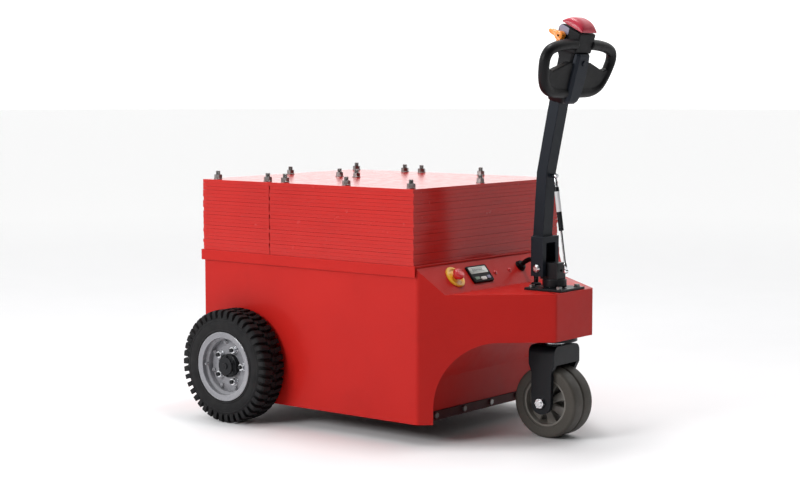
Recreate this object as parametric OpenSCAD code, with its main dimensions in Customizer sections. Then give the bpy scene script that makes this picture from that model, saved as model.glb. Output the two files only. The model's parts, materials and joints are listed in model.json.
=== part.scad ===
// Pedestrian electric tow tractor: a ballast-laden steel body on two driven rear
// wheels and one steered front wheel, with a sprung tiller and a rear tow hitch.
// Millimetres. +X points to the tiller, +Y to the left, +Z up. The origin is on the
// ground under the middle of the machine's length; lengths along X are counted from
// the rear axle and from_axle() moves them into place.

/* [Body] */
// Width over the side panels
body_w = 800; // [720:1:900]
// Length from the rear panel to the fold where the nose begins
body_l = 920; // [880:1:1100]
// Distance from the rear axle back to the rear panel
rear_overhang = 185; // [170:1:230]
// Length of the tapering nose in front of the fold
nose_l = 325; // [290:1:380]
// Width of the flat front end of the nose
nose_w = 214; // [190:1:240]
// Height of the level top of the nose above the ground
nose_top = 475; // [460:1:500]
// Height of the underside of the nose above the ground
nose_under = 323; // [318:1:340]
// Height of the underside of the body above the ground
ground_gap = 65; // [50:1:80]
// Height of the top of the ballast tray above the ground
tray_top = 566; // [550:1:620]
// Thickness of the sheet panels
sheet = 4; // [3:0.5:5]
// Outer radius of the panels' folds
fold_r = 22; // [10:1:30]
// Radius of the arched cut-out behind the front wheel
arch_r = 205; // [190:1:215]

/* [Ballast tray] */
// Thickness of the tray's top plate
tray_t = 6; // [4:1:8]
// Height of the tray's turned-down flange
flange_h = 36; // [30:1:50]
// Overhang of the tray past the body on each side and behind
tray_lip = 9; // [7:1:12]

/* [Ballast] */
// Thickness of one ballast plate
plate_t = 12; // [10:0.5:12.5]
// Number of plates in each stack
plate_count = 20; // [12:1:22]
// Paint and scale gap between two plates
plate_gap = 0.4; // [0.2:0.1:0.6]
// Largest sideways shift of a plate in its stack
plate_shift = 1.1; // [0:0.1:1.2]
// Width of the plates
stack_w = 812; // [740:1:860]
// Length of the rear plates
rear_stack_l = 304; // [280:1:320]
// Gap between the rear and the front stack
stack_gap = 3; // [2:0.5:6]
// Diameter of the clamping studs
stud_d = 16; // [12:1:18]
// Diameter of the stud holes in the plates
stud_hole_d = 20; // [19:1:22]
// Distance from a plate's edge to the stud centres
stud_inset = 37; // [32:1:45]
// Length of the studs above the top plate
stud_above = 28; // [24:1:36]

/* [Rear wheels] */
// Diameter of the rear tyres
tyre_d = 380; // [360:1:400]
// Width of the rear tyres
tyre_w = 104; // [98:1:112]
// Gap between the side panel and the rear tyre
tyre_gap = 7; // [5:1:12]
// Diameter of the rim at the tyre's seat
rim_d = 204; // [196:1:212]
// Diameter over the rim's flanges
rim_flange_d = 232; // [224:1:240]
// Thickness of the rim's pressed disc
disc_t = 8; // [6:1:10]
// Diameter of the half shafts
half_shaft_d = 44; // [36:1:48]
// Diameter of the drive hub's boss in the middle of the rim
boss_d = 74; // [64:1:80]
// Number of wheel nuts on each rear wheel
wheel_nut_count = 5; // [4:1:8]
// Radius of the circle of wheel nuts
wheel_nut_r = 56; // [52:1:62]

/* [Front wheel] */
// Diameter of the front wheel
front_d = 232; // [220:1:236]
// Width of the front wheel
front_w = 108; // [96:1:110]
// Diameter of the front wheel's axle
front_axle_d = 20; // [16:1:24]
// Thickness of one fork leg
leg_t = 16; // [12:1:18]
// Width of one fork leg
leg_w = 74; // [60:1:80]
// Gap between the front wheel and a fork leg
leg_gap = 4; // [3:0.5:6]
// Height of the top of the fork's crown above the ground
crown_top = 300; // [298:1:304]

/* [Steering head] */
// Distance from the tip of the nose back to the steering axis
steer_back = 78; // [75:1:90]
// Diameter of the kingpin
kingpin_d = 40; // [34:1:44]
// Outer diameter of the kingpin bearings
bearing_d = 76; // [70:1:80]
// Height of a kingpin bearing
bearing_h = 26; // [20:1:30]
// Side of the square base plate on the nose
base_plate_w = 140; // [130:1:150]
// Thickness of the base plate
base_plate_t = 8; // [6:1:10]
// Diameter of the swivel collar
collar_d = 78; // [72:1:80]
// Height of the swivel collar
collar_h = 25; // [22:1:28]
// Width of the pivot block
block_w = 50; // [46:1:50]
// Height of the pivot block
block_h = 53; // [50:1:56]

/* [Tiller] */
// Distance from the steering axis back to the tiller's pivot
pivot_back = 38; // [36:1:40]
// Height of the tiller's pivot above the pivot block's underside
pivot_up = 35; // [34:1:37]
// Diameter of the pivot pin
pivot_pin_d = 16; // [14:1:18]
// Width of the tiller's bracket
bracket_w = 92; // [90:1:100]
// Depth of the tiller's bracket
bracket_x = 46; // [46:1:50]
// Height of the tiller's bracket
bracket_h = 127; // [120:1:140]
// Wall of the tiller's bracket
bracket_t = 6; // [5:0.5:7]
// Depth of the tiller tube
tube_x = 38; // [34:1:42]
// Width of the tiller tube
tube_w = 56; // [50:1:60]
// Wall of the tiller tube
tube_t = 4; // [3:0.5:5]
// Length of the lower stretch of the tube
tube_low_l = 206; // [180:1:240]
// Length of the upper stretch of the tube
tube_high_l = 230; // [200:1:270]
// Forward lean of the lower stretch
tube_low_lean = 3.5; // [2:0.5:6]
// Forward lean of the upper stretch
tube_high_lean = 11.5; // [8:0.5:14]
// Forward lean of the tiller head
head_lean = 16; // [12:0.5:20]

/* [Tiller head] */
// Width over the two grip loops
grip_span = 406; // [380:1:430]
// Diameter of the grip loops' tube
grip_d = 34; // [30:1:36]
// Height of the grip loops between the middles of their tubes
grip_h = 156; // [140:1:170]
// Width of the switch housing
hub_w = 92; // [84:1:100]

/* [Gas spring] */
// Diameter of the gas spring's cylinder
gas_d = 16; // [15:1:18]
// Diameter of the gas spring's rod
gas_rod_d = 7; // [6:0.5:8]

/* [Console] */
// Diameter of the yellow collar under the emergency stop
estop_collar_d = 76; // [70:1:80]
// Diameter of the emergency stop's mushroom head
estop_d = 40; // [36:1:44]
// Width of the battery display
display_w = 108; // [100:1:112]
// Height of the battery display along the slope
display_l = 63; // [58:1:66]
// Diameter of the wiring hose
hose_d = 16; // [14:1:18]

/* [Tow hitch] */
// Diameter of the tow pin
tow_pin_d = 24; // [20:1:26]
// Clear height of each jaw of the hitch
jaw_h = 36; // [32:1:40]
// Thickness of the hitch's jaw plates
jaw_t = 12; // [10:1:14]
// Reach of the jaw plates behind their base plate
jaw_reach = 88; // [80:1:95]

/* [Hidden] */

$fn = 64;
fit = 0.05;      // radial clearance of a running or seated round fit
air = 0.5;       // clearance between faces that pass one another
step = 0.01;     // overshoot of a cut past the face it opens
far = 2000;      // reach of a cutting block

red = "#c8302c";
black = "#1f2124";
steel = "#b9bcc0";
slate = "#2f363d";

// Body
half_w = body_w / 2;
rear_x = -rear_overhang;
fold_x = rear_x + body_l;
nose_x = fold_x + nose_l;
taper = atan2(half_w - nose_w / 2, nose_l);
tray_under = tray_top - tray_t;
console_top_x = fold_x - 5;
console_low_x = fold_x + 65;
console_slope = atan2(tray_under - nose_top, console_low_x - console_top_x);
bulkhead_x = fold_x - 6;
bulkhead_fold_z = 195;
bulkhead_high_x = console_low_x;
floor_t = 6;
lip_h = 30;
nose_plate_t = 8;
arch_start = 51;
bolt_d = 10;

// Chassis frame
rail_w = 40;
rail_h = 60;
rail_out = half_w - 60;
top_rail_out = half_w - 10;
frame_rear_x = rear_x + 10;
frame_front_x = bulkhead_x - sheet - 2;
beam_t = 8;
beam_y = 62;

// Ballast
stack_half = stack_w / 2;
rear_stack_x = rear_x;
front_stack_x = rear_stack_x + rear_stack_l + stack_gap;
front_stack_l = fold_x - 10 - front_stack_x;
stack_h = plate_count * plate_t;
stack_top = tray_top + stack_h;
stud_r = stud_d / 2;
nut_af = 1.5 * stud_d;
nut_h = 0.8 * stud_d;
washer_t = 3;
rear_stud_xs = [rear_stack_x + stud_inset, rear_stack_x + rear_stack_l - stud_inset];
front_stud_xs = [front_stack_x + stud_inset, front_stack_x + front_stack_l - stud_inset];
front_mid_x = front_stack_x + front_stack_l / 2;
stud_y = stack_half - stud_inset + 1;
rear_studs = [for (x = rear_stud_xs, y = [-stud_y, 0, stud_y]) [x, y]];
front_studs = concat(
    [for (x = front_stud_xs, y = [-stud_y, 0, stud_y]) [x, y]],
    [for (y = [-stud_y, stud_y]) [front_mid_x, y]]
);

// Rear wheels, with Y counted outwards from the machine's middle
axle_z = tyre_d / 2;
tyre_in = half_w + tyre_gap;
tyre_out = tyre_in + tyre_w;
rim_seat_r = rim_d / 2;
rim_wall = 4;
disc_y = tyre_in + 53;
hub_flange_t = 14;
hub_flange_r = 72;
housing_r = 42;
housing_end = tyre_in + 22;
boss_end = tyre_out - 12;
wheel_nut_d = 24;
wheel_nut_h = 16;

// Steering head
steer_x = nose_x - steer_back;
front_z = front_d / 2;
front_hub_r = 26;
front_spoke_w = 26;
kingpin_r = kingpin_d / 2;
bearing_r = bearing_d / 2;
leg_in = front_w / 2 + leg_gap;
leg_out = leg_in + leg_t;
crown_under = front_d + 8;
crown_back = 48;
crown_front = 50;
crown_r = 24;
lower_plate_t = 12;
lower_plate_r = 75;
base_top = nose_top + base_plate_t;
collar_z = base_top + 1;
block_z = collar_z + collar_h;
block_front = 25;
pivot_x = steer_x - pivot_back;
pivot_z = block_z + pivot_up;
lug_r = 14;

// Tiller
bracket_z = pivot_z - 26;
bracket_top = bracket_z + bracket_h;
slot_w = block_w + 4;
slot_top = bracket_top - 20;
tube_start_x = pivot_x - 9;
bend_x = tube_start_x + tube_low_l * sin(tube_low_lean);
bend_z = bracket_top + tube_low_l * cos(tube_low_lean);
head_x = bend_x + tube_high_l * sin(tube_high_lean);
head_z = bend_z + tube_high_l * cos(tube_high_lean);

// Tiller head, in the head's own leaning frame
grip_x = 33;
grip_low_z = 37;
grip_high_z = grip_low_z + grip_h;
grip_r = grip_d / 2;
grip_y = grip_span / 2 - grip_r;
grip_bend = 44;
grip_inner_y = 60;
grip_inner_bend = 30;
grip_web_t = 22;
casing_w = 84;
hub_low_z = 172;
belly_rear = [-31, 250];
belly_front = [46, 216];
belly_t = 16;
belly_gap = 5;
belly_stem_r = 12;
belly_stem_l = 16;
belly_slope = atan2(belly_rear[1] - belly_front[1], belly_front[0] - belly_rear[0]);
horn_at = [59, 138];
horn_r = 9;
horn_l = 30;
throttle_at = [-18, 208];
throttle_reach = 42;
throttle_shaft_d = 14;

// Gas spring
gas_low = [steer_x + block_front + 18, pivot_z - 7];
gas_high = [bend_x + 33, bend_z - 12];
gas_run = gas_high - gas_low;
gas_l = norm(gas_run);
gas_lean = atan2(gas_run[0], gas_run[1]);
gas_rod_l = 155;
gas_eye_r = 8;
gas_cylinder_low = 129;
gas_cylinder_high = gas_l - 35;

// Console, with places counted down the slope from its top edge
estop_at = [52, -240];
display_at = [54, -111];
lamps_at = [[56, -23], [54, 60]];
gland_at = [46, 130];
nose_gland_at = [steer_x - 92, 32];
gland_r = 20;
gland_h = 14;
console_top_z = tray_under;

// Tow hitch
hitch_base_t = 12;
hitch_z = 215;
jaw_w = 90;
hitch_rear_x = rear_x - hitch_base_t - jaw_reach;
tow_pin_x = hitch_rear_x + jaw_w / 2;
hitch_bolt_ys = [-60, 60];
hitch_bolt_zs = [hitch_z - 15, hitch_z + 2 * (jaw_h + jaw_t) + 27];
hitch_plate_half = 80;
lip_bolt_ys = [-300, -150, 0, 150, 300];

// The machine's extent along X, from the hitch to the front of the tiller head
head_front_x = head_x + belly_front[0] * cos(head_lean) + belly_front[1] * sin(head_lean) + 8;
origin_x = (hitch_rear_x + head_front_x) / 2;

// ---- Helpers ----

module from_axle() {
    translate([-origin_x, 0, 0]) children();
}

// A box given by its lowest and highest corners
module block(low, high) {
    translate(low) cube(high - low);
}

// A straight-sided prism along Y from an outline in X and Z
module along_y(y0, y1) {
    translate([0, y1, 0]) rotate([90, 0, 0]) linear_extrude(y1 - y0) children();
}

module rod_y(r, y0, y1) {
    translate([0, y1, 0]) rotate([90, 0, 0]) cylinder(r = r, h = y1 - y0);
}

module hexagon_bar(across_flats, h) {
    cylinder(d = across_flats / cos(30), h = h, $fn = 6);
}

// A turned body about the Y axis, from an outline of radius and Y
module turned_y() {
    rotate([-90, 0, 0]) rotate_extrude($fn = 128) children();
}

// The points of an arc of radius r that rounds the corner at b
function rounded(a, b, c, r, steps = 8) =
    let (u = (a - b) / norm(a - b), v = (c - b) / norm(c - b),
        half = acos(u * v) / 2,
        centre = b + (u + v) / norm(u + v) * r / sin(half),
        from = b + u * r / tan(half) - centre,
        to = b + v * r / tan(half) - centre,
        start = atan2(from[1], from[0]),
        turn = atan2(from[0] * to[1] - from[1] * to[0], from * to))
    [for (i = [0:steps]) centre + r * [cos(start + turn * i / steps), sin(start + turn * i / steps)]];

// The body's outline in plan, drawn in by inset all round
function plan_half(inset) =
    let (rear = [rear_x + inset, half_w - inset],
        fold = [fold_x - inset * tan(taper / 2), half_w - inset],
        tip = [nose_x - inset, nose_w / 2 - inset * cos(taper) / (1 + sin(taper))],
        middle = [nose_x - inset, 0])
    concat([rear], rounded(rear, fold, tip, fold_r - inset),
        rounded(fold, tip, middle, fold_r * 0.6 - inset));

module plan(inset) {
    left = plan_half(inset);
    right = [for (i = [len(left) - 1:-1:0]) [left[i][0], -left[i][1]]];
    polygon(concat(left, right));
}

// Places children on the console's sloping face, X down the slope and Z out of it
module on_console(at) {
    translate([console_top_x, 0, console_top_z]) rotate([0, console_slope, 0])
        translate([at[0], at[1], 0]) children();
}

module at_steering() {
    translate([steer_x, 0, 0]) children();
}

module at_head() {
    translate([head_x, 0, head_z]) rotate([0, head_lean, 0]) children();
}

module at_rear_axle(side) {
    translate([0, 0, axle_z]) mirror([0, side < 0 ? 1 : 0, 0]) children();
}

module at_gas_low() {
    translate([gas_low[0], 0, gas_low[1]]) rotate([0, gas_lean, 0]) children();
}

// ---- Body panels ----

// The outline of a side panel seen from the side
module side_outline() {
    polygon([
        [rear_x, ground_gap], [nose_x, ground_gap], [nose_x, nose_top],
        [console_low_x, nose_top], [console_top_x, tray_under], [rear_x, tray_under]
    ]);
}

// The opening under the nose, in the plane of the nose's tapering side
module arch_outline() {
    centre_z = nose_under - arch_r;
    translate([arch_start, -far]) square([far, far + centre_z]);
    translate([arch_start + arch_r, centre_z]) circle(r = arch_r, $fn = 128);
    translate([arch_start + arch_r, -far]) square([far, far + nose_under]);
}

module side_panel() {
    color(red) from_axle() difference() {
        intersection() {
            linear_extrude(tray_under) plan(0);
            along_y(-half_w - step, 0) side_outline();
        }
        translate([0, 0, -step]) linear_extrude(tray_under + 1) plan(sheet);
        block([rear_x - step, -half_w + sheet, 0], [rear_x + sheet, step, tray_top]);
        block([nose_x - sheet, -nose_w / 2 + 2 * sheet, 0], [nose_x + step, step, tray_top]);
        translate([fold_x, -half_w, 0]) rotate([0, 0, taper])
            along_y(-60, 60) arch_outline();
        translate([0, -half_w + sheet / 2, axle_z]) rod_y(housing_r + 6, -sheet, sheet);
    }
}

module side_panel_right() {
    side_panel();
}

module side_panel_left() {
    mirror([0, 1, 0]) side_panel();
}

module rear_panel() {
    inlet = charging_place();
    color(red) from_axle() difference() {
        block([rear_x, -half_w + sheet, ground_gap], [rear_x + sheet, half_w - sheet, tray_under]);
        translate([rear_x - step, inlet[0], inlet[1]]) rotate([0, 90, 0])
            cylinder(r = 22, h = sheet + 2 * step);
    }
}

module front_bulkhead() {
    run = [bulkhead_high_x - bulkhead_x, nose_under - bulkhead_fold_z];
    lean = atan2(run[1], run[0]);
    wall = sheet / sin(lean);
    color(red) from_axle() intersection() {
        along_y(-half_w, half_w) polygon([
            [bulkhead_x - sheet, ground_gap + floor_t], [bulkhead_x, ground_gap + floor_t],
            [bulkhead_x, bulkhead_fold_z], [bulkhead_high_x, nose_under],
            [bulkhead_high_x - wall, nose_under], [bulkhead_x - sheet, bulkhead_fold_z + 2]
        ]);
        linear_extrude(tray_top) plan(sheet);
    }
}

module floor_plate() {
    color(black) from_axle() {
        block([rear_x + sheet, -half_w + sheet, ground_gap],
            [bulkhead_x, half_w - sheet, ground_gap + floor_t]);
        block([bulkhead_x, -half_w + sheet + 6, ground_gap],
            [bulkhead_x + sheet, half_w - sheet - 6, ground_gap + lip_h]);
    }
}

module nose_front_panel() {
    color(red) from_axle()
        block([nose_x - sheet, -nose_w / 2 + 2 * sheet, nose_under],
            [nose_x, nose_w / 2 - 2 * sheet, nose_top]);
}

module nose_top_plate() {
    color(red) from_axle() difference() {
        intersection() {
            block([console_low_x, -half_w, nose_top - nose_plate_t],
                [nose_x - sheet, half_w, nose_top]);
            linear_extrude(tray_top) plan(sheet);
        }
        at_steering() translate([0, 0, nose_top - nose_plate_t - step])
            cylinder(r = bearing_r + fit, h = nose_plate_t + 2 * step);
        translate([nose_gland_at[0], nose_gland_at[1], nose_top - nose_plate_t - step])
            cylinder(r = gland_r / 2, h = nose_plate_t + 2 * step);
    }
}

module console_panel() {
    nx = sheet * sin(console_slope);
    nz = sheet * cos(console_slope);
    color(red) from_axle() difference() {
        intersection() {
            along_y(-half_w, half_w) polygon([
                [console_top_x, console_top_z], [console_low_x, nose_top],
                [console_low_x - nx, nose_top - nz], [console_top_x - nx, console_top_z - nz]
            ]);
            linear_extrude(tray_top) plan(sheet);
        }
        on_console(estop_at) translate([0, 0, -far / 2]) cylinder(r = 11, h = far);
        on_console(gland_at) translate([0, 0, -far / 2]) cylinder(r = hose_d / 2, h = far);
    }
}

module ballast_tray() {
    out = half_w + tray_lip;
    front = fold_x - 2;
    rear = rear_x - tray_lip;
    color(red) from_axle() difference() {
        block([rear, -out, tray_top - flange_h], [front, out, tray_top]);
        block([rear + sheet, -out + sheet, tray_top - flange_h - step],
            [front + step, out - sheet, tray_under]);
    }
}

module chassis_frame() {
    rail_z = ground_gap + floor_t;
    nose_beam_z = [nose_under + nose_plate_t, nose_top - nose_plate_t];
    color(black) from_axle() difference() {
        union() {
            for (side = [-1, 1]) {
                mirror([0, side < 0 ? 1 : 0, 0]) {
                    block([frame_rear_x, rail_out - rail_w, rail_z],
                        [frame_front_x, rail_out, rail_z + rail_h]);
                    block([frame_rear_x, top_rail_out - rail_w, tray_under - rail_w],
                        [frame_front_x, top_rail_out, tray_under]);
                    for (x = [frame_rear_x, frame_front_x - rail_w])
                        block([x, rail_out - rail_w, rail_z], [x + rail_w, top_rail_out, tray_under]);
                    block([frame_front_x - rail_w, beam_y, nose_beam_z[0]],
                        [nose_x - 3 * sheet, beam_y + beam_t, nose_beam_z[1]]);
                }
            }
            for (x = [frame_rear_x, frame_front_x - rail_w])
                block([x, -top_rail_out, tray_under - rail_w], [x + rail_w, top_rail_out, tray_under]);
            block([frame_front_x - rail_w, -top_rail_out, nose_beam_z[0]],
                [frame_front_x, top_rail_out, nose_beam_z[1]]);
            intersection() {
                block([bulkhead_high_x, -half_w, nose_under],
                    [nose_x - sheet, half_w, nose_under + nose_plate_t]);
                linear_extrude(tray_top) plan(sheet);
            }
        }
        at_steering() translate([0, 0, nose_under - step])
            cylinder(r = bearing_r + fit, h = nose_plate_t + 2 * step);
    }
}

// ---- Ballast ----

module ballast_stack(x, length, studs, hand) {
    for (i = [0:plate_count - 1]) {
        shift = plate_shift * [sin(i * 137 * hand), cos(i * 101 * hand)];
        difference() {
            block([x + shift[0], -stack_half + shift[1], tray_top + i * plate_t],
                [x + length + shift[0], stack_half + shift[1],
                    tray_top + (i + 1) * plate_t - plate_gap]);
            for (at = studs)
                translate([at[0], at[1], tray_top + i * plate_t - step])
                    cylinder(d = stud_hole_d, h = plate_t);
        }
    }
}

module rear_ballast_plates() {
    color(red) from_axle() ballast_stack(rear_stack_x, rear_stack_l, rear_studs, 1);
}

module front_ballast_plates() {
    color(red) from_axle() ballast_stack(front_stack_x, front_stack_l, front_studs, -1);
}

module ballast_studs() {
    color(steel) from_axle()
        for (at = concat(rear_studs, front_studs))
            translate([at[0], at[1], tray_top])
                cylinder(r = stud_r, h = stack_h + stud_above);
}

module ballast_nuts() {
    color(steel) from_axle()
        for (at = concat(rear_studs, front_studs))
            translate([at[0], at[1], stack_top - plate_gap]) difference() {
                union() {
                    cylinder(r = 0.9 * nut_af, h = washer_t);
                    translate([0, 0, washer_t]) hexagon_bar(nut_af, nut_h);
                }
                translate([0, 0, -step]) cylinder(r = stud_r + fit, h = washer_t + nut_h + 1);
            }
}

// ---- Power and drive ----

battery_size = [330, 180, 236];
battery_ys = [-190, 0, 190];
battery_x = 345;
battery_z = ground_gap + floor_t;

module batteries() {
    color(black) from_axle()
        for (y = battery_ys) {
            block([battery_x, y - battery_size[1] / 2, battery_z],
                [battery_x + battery_size[0], y + battery_size[1] / 2, battery_z + battery_size[2]]);
            for (x = [battery_x + 30, battery_x + battery_size[0] - 30])
                translate([x, y + 60, battery_z + battery_size[2] - step])
                    cylinder(r = 9, h = 16);
        }
}

module battery_clamp() {
    top = battery_z + battery_size[2];
    middle = battery_x + battery_size[0] / 2;
    foot_y = rail_out - rail_w - 4;
    color(steel) from_axle() {
        block([middle - 15, -foot_y, top], [middle + 15, foot_y, top + 5]);
        for (side = [-1, 1])
            translate([middle, side * (foot_y - 5), battery_z]) cylinder(r = 4, h = top - battery_z + step);
    }
}

module motor_controller() {
    low = [rear_x + 20, 100, battery_z];
    size = [110, 170, 40];
    color(black) from_axle() {
        block(low, low + size);
        for (i = [0:6])
            block(low + [0, 6 + 24 * i, size[2]], low + [size[0], 12 + 24 * i, size[2] + 22]);
    }
}

function charging_place() = [230, 420];

module charging_inlet() {
    at = charging_place();
    color(black) from_axle() translate([rear_x, at[0], at[1]]) rotate([0, -90, 0]) difference() {
        union() {
            translate([-32, -32, 0]) cube([64, 64, 4]);
            cylinder(r = 26, h = 10);
            translate([0, 0, -34]) cylinder(r = 21.5, h = 34 + step);
        }
        translate([0, 0, -20]) cylinder(r = 18, h = 40);
    }
}

module axle_housing() {
    color(black) from_axle() translate([0, 0, axle_z]) difference() {
        union() {
            rod_y(housing_r, -housing_end, housing_end);
            rod_y(88, -80, 80);
            for (side = [-1, 1])
                mirror([0, side < 0 ? 1 : 0, 0])
                    block([-40, rail_out - rail_w, ground_gap + floor_t + rail_h - axle_z],
                        [40, rail_out, 0]);
        }
        for (side = [-1, 1])
            mirror([0, side < 0 ? 1 : 0, 0])
                rod_y(half_shaft_d / 2 + fit, housing_end - 90, housing_end + step);
    }
}

module drive_motor() {
    color(slate) from_axle() translate([88 - 4, 0, axle_z]) rotate([0, 90, 0]) difference() {
        union() {
            translate([0, 0, 4.2]) cylinder(r = 70, h = 12);
            translate([0, 0, 16]) cylinder(r = 78, h = 190);
            translate([0, 0, 206 - step]) cylinder(r = 60, h = 22);
        }
        rotate([0, -90, 0]) rod_y(88 + air, -81, 81);
    }
}

// ---- Rear wheels ----

// The solid tyre's section, radius and outward Y
module tyre_section() {
    r = axle_z;
    seat = rim_seat_r + rim_wall;
    polygon([
        [seat, tyre_in + 9], [rim_flange_d / 2 + 1, tyre_in + 5], [rim_flange_d / 2 + 16, tyre_in],
        [r - 22, tyre_in], [r - 8, tyre_in + 4], [r - 1.5, tyre_in + 16],
        [r, tyre_in + 30], [r, tyre_out - 30],
        [r - 1.5, tyre_out - 16], [r - 8, tyre_out - 4], [r - 22, tyre_out],
        [rim_flange_d / 2 + 16, tyre_out], [rim_flange_d / 2 + 1, tyre_out - 5],
        [seat, tyre_out - 9]
    ]);
}

module rear_tyre(side) {
    color(black) from_axle() at_rear_axle(side) turned_y() tyre_section();
}

module rim_section() {
    seat = rim_seat_r;
    flange = rim_flange_d / 2;
    polygon([
        [seat - rim_wall, tyre_in + 4], [flange, tyre_in + 2], [flange, tyre_in + 4.8],
        [seat + rim_wall - 0.2, tyre_in + 8.8], [seat + rim_wall - 0.2, tyre_out - 8.8],
        [flange, tyre_out - 4.8], [flange, tyre_out - 2], [seat - rim_wall, tyre_out - 4],
        [seat - rim_wall, tyre_out - 22], [seat - 14, tyre_out - 24],
        [seat - 14, disc_y], [seat - rim_wall, disc_y - 10]
    ]);
}

module rear_rim(side) {
    color(steel) from_axle() at_rear_axle(side) {
        turned_y() rim_section();
        difference() {
            rod_y(rim_seat_r - 14 - fit, disc_y, disc_y + disc_t);
            rod_y(boss_d / 2 + fit, disc_y - 1, disc_y + disc_t + 1);
            for (i = [0:wheel_nut_count - 1])
                rotate([0, i * 360 / wheel_nut_count, 0]) translate([wheel_nut_r, 0, 0])
                    rod_y(7.2, disc_y - 1, disc_y + disc_t + 1);
        }
    }
}

module rear_hub(side) {
    color(black) from_axle() at_rear_axle(side) {
        rod_y(half_shaft_d / 2, housing_end - 80, disc_y - hub_flange_t + step);
        rod_y(hub_flange_r, disc_y - hub_flange_t, disc_y);
        rod_y(boss_d / 2, disc_y - step, boss_end - 8);
        rod_y(boss_d / 2 - 7, boss_end - 8 - step, boss_end);
        for (i = [0:wheel_nut_count - 1])
            rotate([0, i * 360 / wheel_nut_count, 0]) translate([wheel_nut_r, 0, 0])
                rod_y(7, disc_y - step, disc_y + disc_t + wheel_nut_h + 6);
    }
}

module wheel_nuts(side) {
    color(steel) from_axle() at_rear_axle(side)
        for (i = [0:wheel_nut_count - 1])
            rotate([0, i * 360 / wheel_nut_count, 0])
                translate([wheel_nut_r, disc_y + disc_t, 0]) rotate([-90, 0, 0]) difference() {
                    hexagon_bar(wheel_nut_d * cos(30), wheel_nut_h);
                    translate([0, 0, -step]) cylinder(r = 7 + fit, h = wheel_nut_h + 1);
                }
}

module rear_tyre_left() { rear_tyre(1); }
module rear_rim_left() { rear_rim(1); }
module rear_hub_left() { rear_hub(1); }
module wheel_nuts_left() { wheel_nuts(1); }
module rear_tyre_right() { rear_tyre(-1); }
module rear_rim_right() { rear_rim(-1); }
module rear_hub_right() { rear_hub(-1); }
module wheel_nuts_right() { wheel_nuts(-1); }

// ---- Tow hitch ----

module tow_hitch() {
    x0 = rear_x - hitch_base_t;
    pitch = jaw_h + jaw_t;
    color(black) from_axle() difference() {
        union() {
            block([x0, -hitch_plate_half, hitch_z - 35],
                [rear_x, hitch_plate_half, hitch_z + 2 * pitch + 47]);
            for (i = [0:2])
                block([hitch_rear_x + 20, -jaw_w / 2, hitch_z + i * pitch],
                    [x0 + step, jaw_w / 2, hitch_z + i * pitch + jaw_t]);
            for (i = [0:2])
                translate([hitch_rear_x + jaw_w / 2, 0, hitch_z + i * pitch])
                    cylinder(d = jaw_w, h = jaw_t);
        }
        translate([tow_pin_x, 0, hitch_z - 1])
            cylinder(r = tow_pin_d / 2 + 2 * fit, h = 2 * pitch + jaw_t + 2);
        for (y = hitch_bolt_ys, z = hitch_bolt_zs)
            translate([x0 - step, y, z]) rotate([0, 90, 0])
                cylinder(d = bolt_d + 0.4, h = hitch_base_t + 1);
    }
}

module tow_pin() {
    top = hitch_z + 2 * (jaw_h + jaw_t) + jaw_t;
    color(steel) from_axle() translate([tow_pin_x, 0, 0]) {
        translate([0, 0, hitch_z - 14]) cylinder(d = tow_pin_d, h = top - hitch_z + 14);
        translate([0, 0, hitch_z - 22]) cylinder(d1 = tow_pin_d - 10, d2 = tow_pin_d, h = 8 + step);
        translate([0, 0, top + air]) cylinder(d = tow_pin_d + 14, h = 8);
        translate([0, 0, top - step]) cylinder(d = tow_pin_d, h = 40);
        translate([0, 0, top + 58]) rotate([90, 0, 0]) rotate_extrude()
            translate([22, 0]) circle(r = 5);
    }
}

module frame_bolts() {
    color(steel) from_axle() {
        for (y = hitch_bolt_ys, z = hitch_bolt_zs)
            translate([rear_x - hitch_base_t, y, z]) rotate([0, -90, 0]) {
                hexagon_bar(1.7 * bolt_d, 0.7 * bolt_d);
                translate([0, 0, -hitch_base_t + step]) cylinder(d = bolt_d, h = hitch_base_t);
            }
        for (y = lip_bolt_ys)
            translate([bulkhead_x + sheet, y, ground_gap + lip_h / 2 + 2]) rotate([0, 90, 0])
                hexagon_bar(1.7 * bolt_d, 0.7 * bolt_d);
    }
}

// ---- Steering ----

module ring(r_out, r_in, h) {
    difference() {
        cylinder(r = r_out, h = h);
        translate([0, 0, -step]) cylinder(r = r_in, h = h + 2 * step);
    }
}

module kingpin_bearings() {
    color(steel) from_axle() at_steering() {
        translate([0, 0, crown_top + 2]) ring(bearing_r, kingpin_r + fit, bearing_h);
        translate([0, 0, base_top - bearing_h]) ring(bearing_r, kingpin_r + fit, bearing_h);
    }
}

module lower_bearing_plate() {
    color(black) from_axle() at_steering() translate([0, 0, nose_under - lower_plate_t])
        ring(lower_plate_r, bearing_r + fit, lower_plate_t);
}

base_bolt_at = 52;

module swivel_base_plate() {
    w = base_plate_w / 2;
    color(black) from_axle() at_steering() translate([0, 0, nose_top]) difference() {
        block([-w, -w, 0], [w, w, base_plate_t]);
        translate([0, 0, -step]) cylinder(r = bearing_r + fit, h = base_plate_t + 1);
    }
}

module base_plate_bolts() {
    color(steel) from_axle() at_steering()
        for (x = [-base_bolt_at, base_bolt_at], y = [-base_bolt_at, base_bolt_at])
            translate([x, y, base_top]) {
                cylinder(d = 2 * bolt_d, h = 2);
                translate([0, 0, 2 - step]) hexagon_bar(1.7 * bolt_d, 0.65 * bolt_d);
            }
}

module crown_outline() {
    low_z = front_z - 37;
    difference() {
        union() {
            translate([-leg_out, low_z]) square([2 * leg_out, crown_top - crown_r - low_z]);
            translate([-leg_out + crown_r, crown_top - crown_r - 1])
                square([2 * (leg_out - crown_r), crown_r + 1]);
            for (side = [-1, 1])
                translate([side * (leg_out - crown_r), crown_top - crown_r]) circle(r = crown_r);
        }
        translate([-leg_in, low_z - 1]) square([2 * leg_in, crown_under - low_z + 1]);
    }
}

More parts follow.
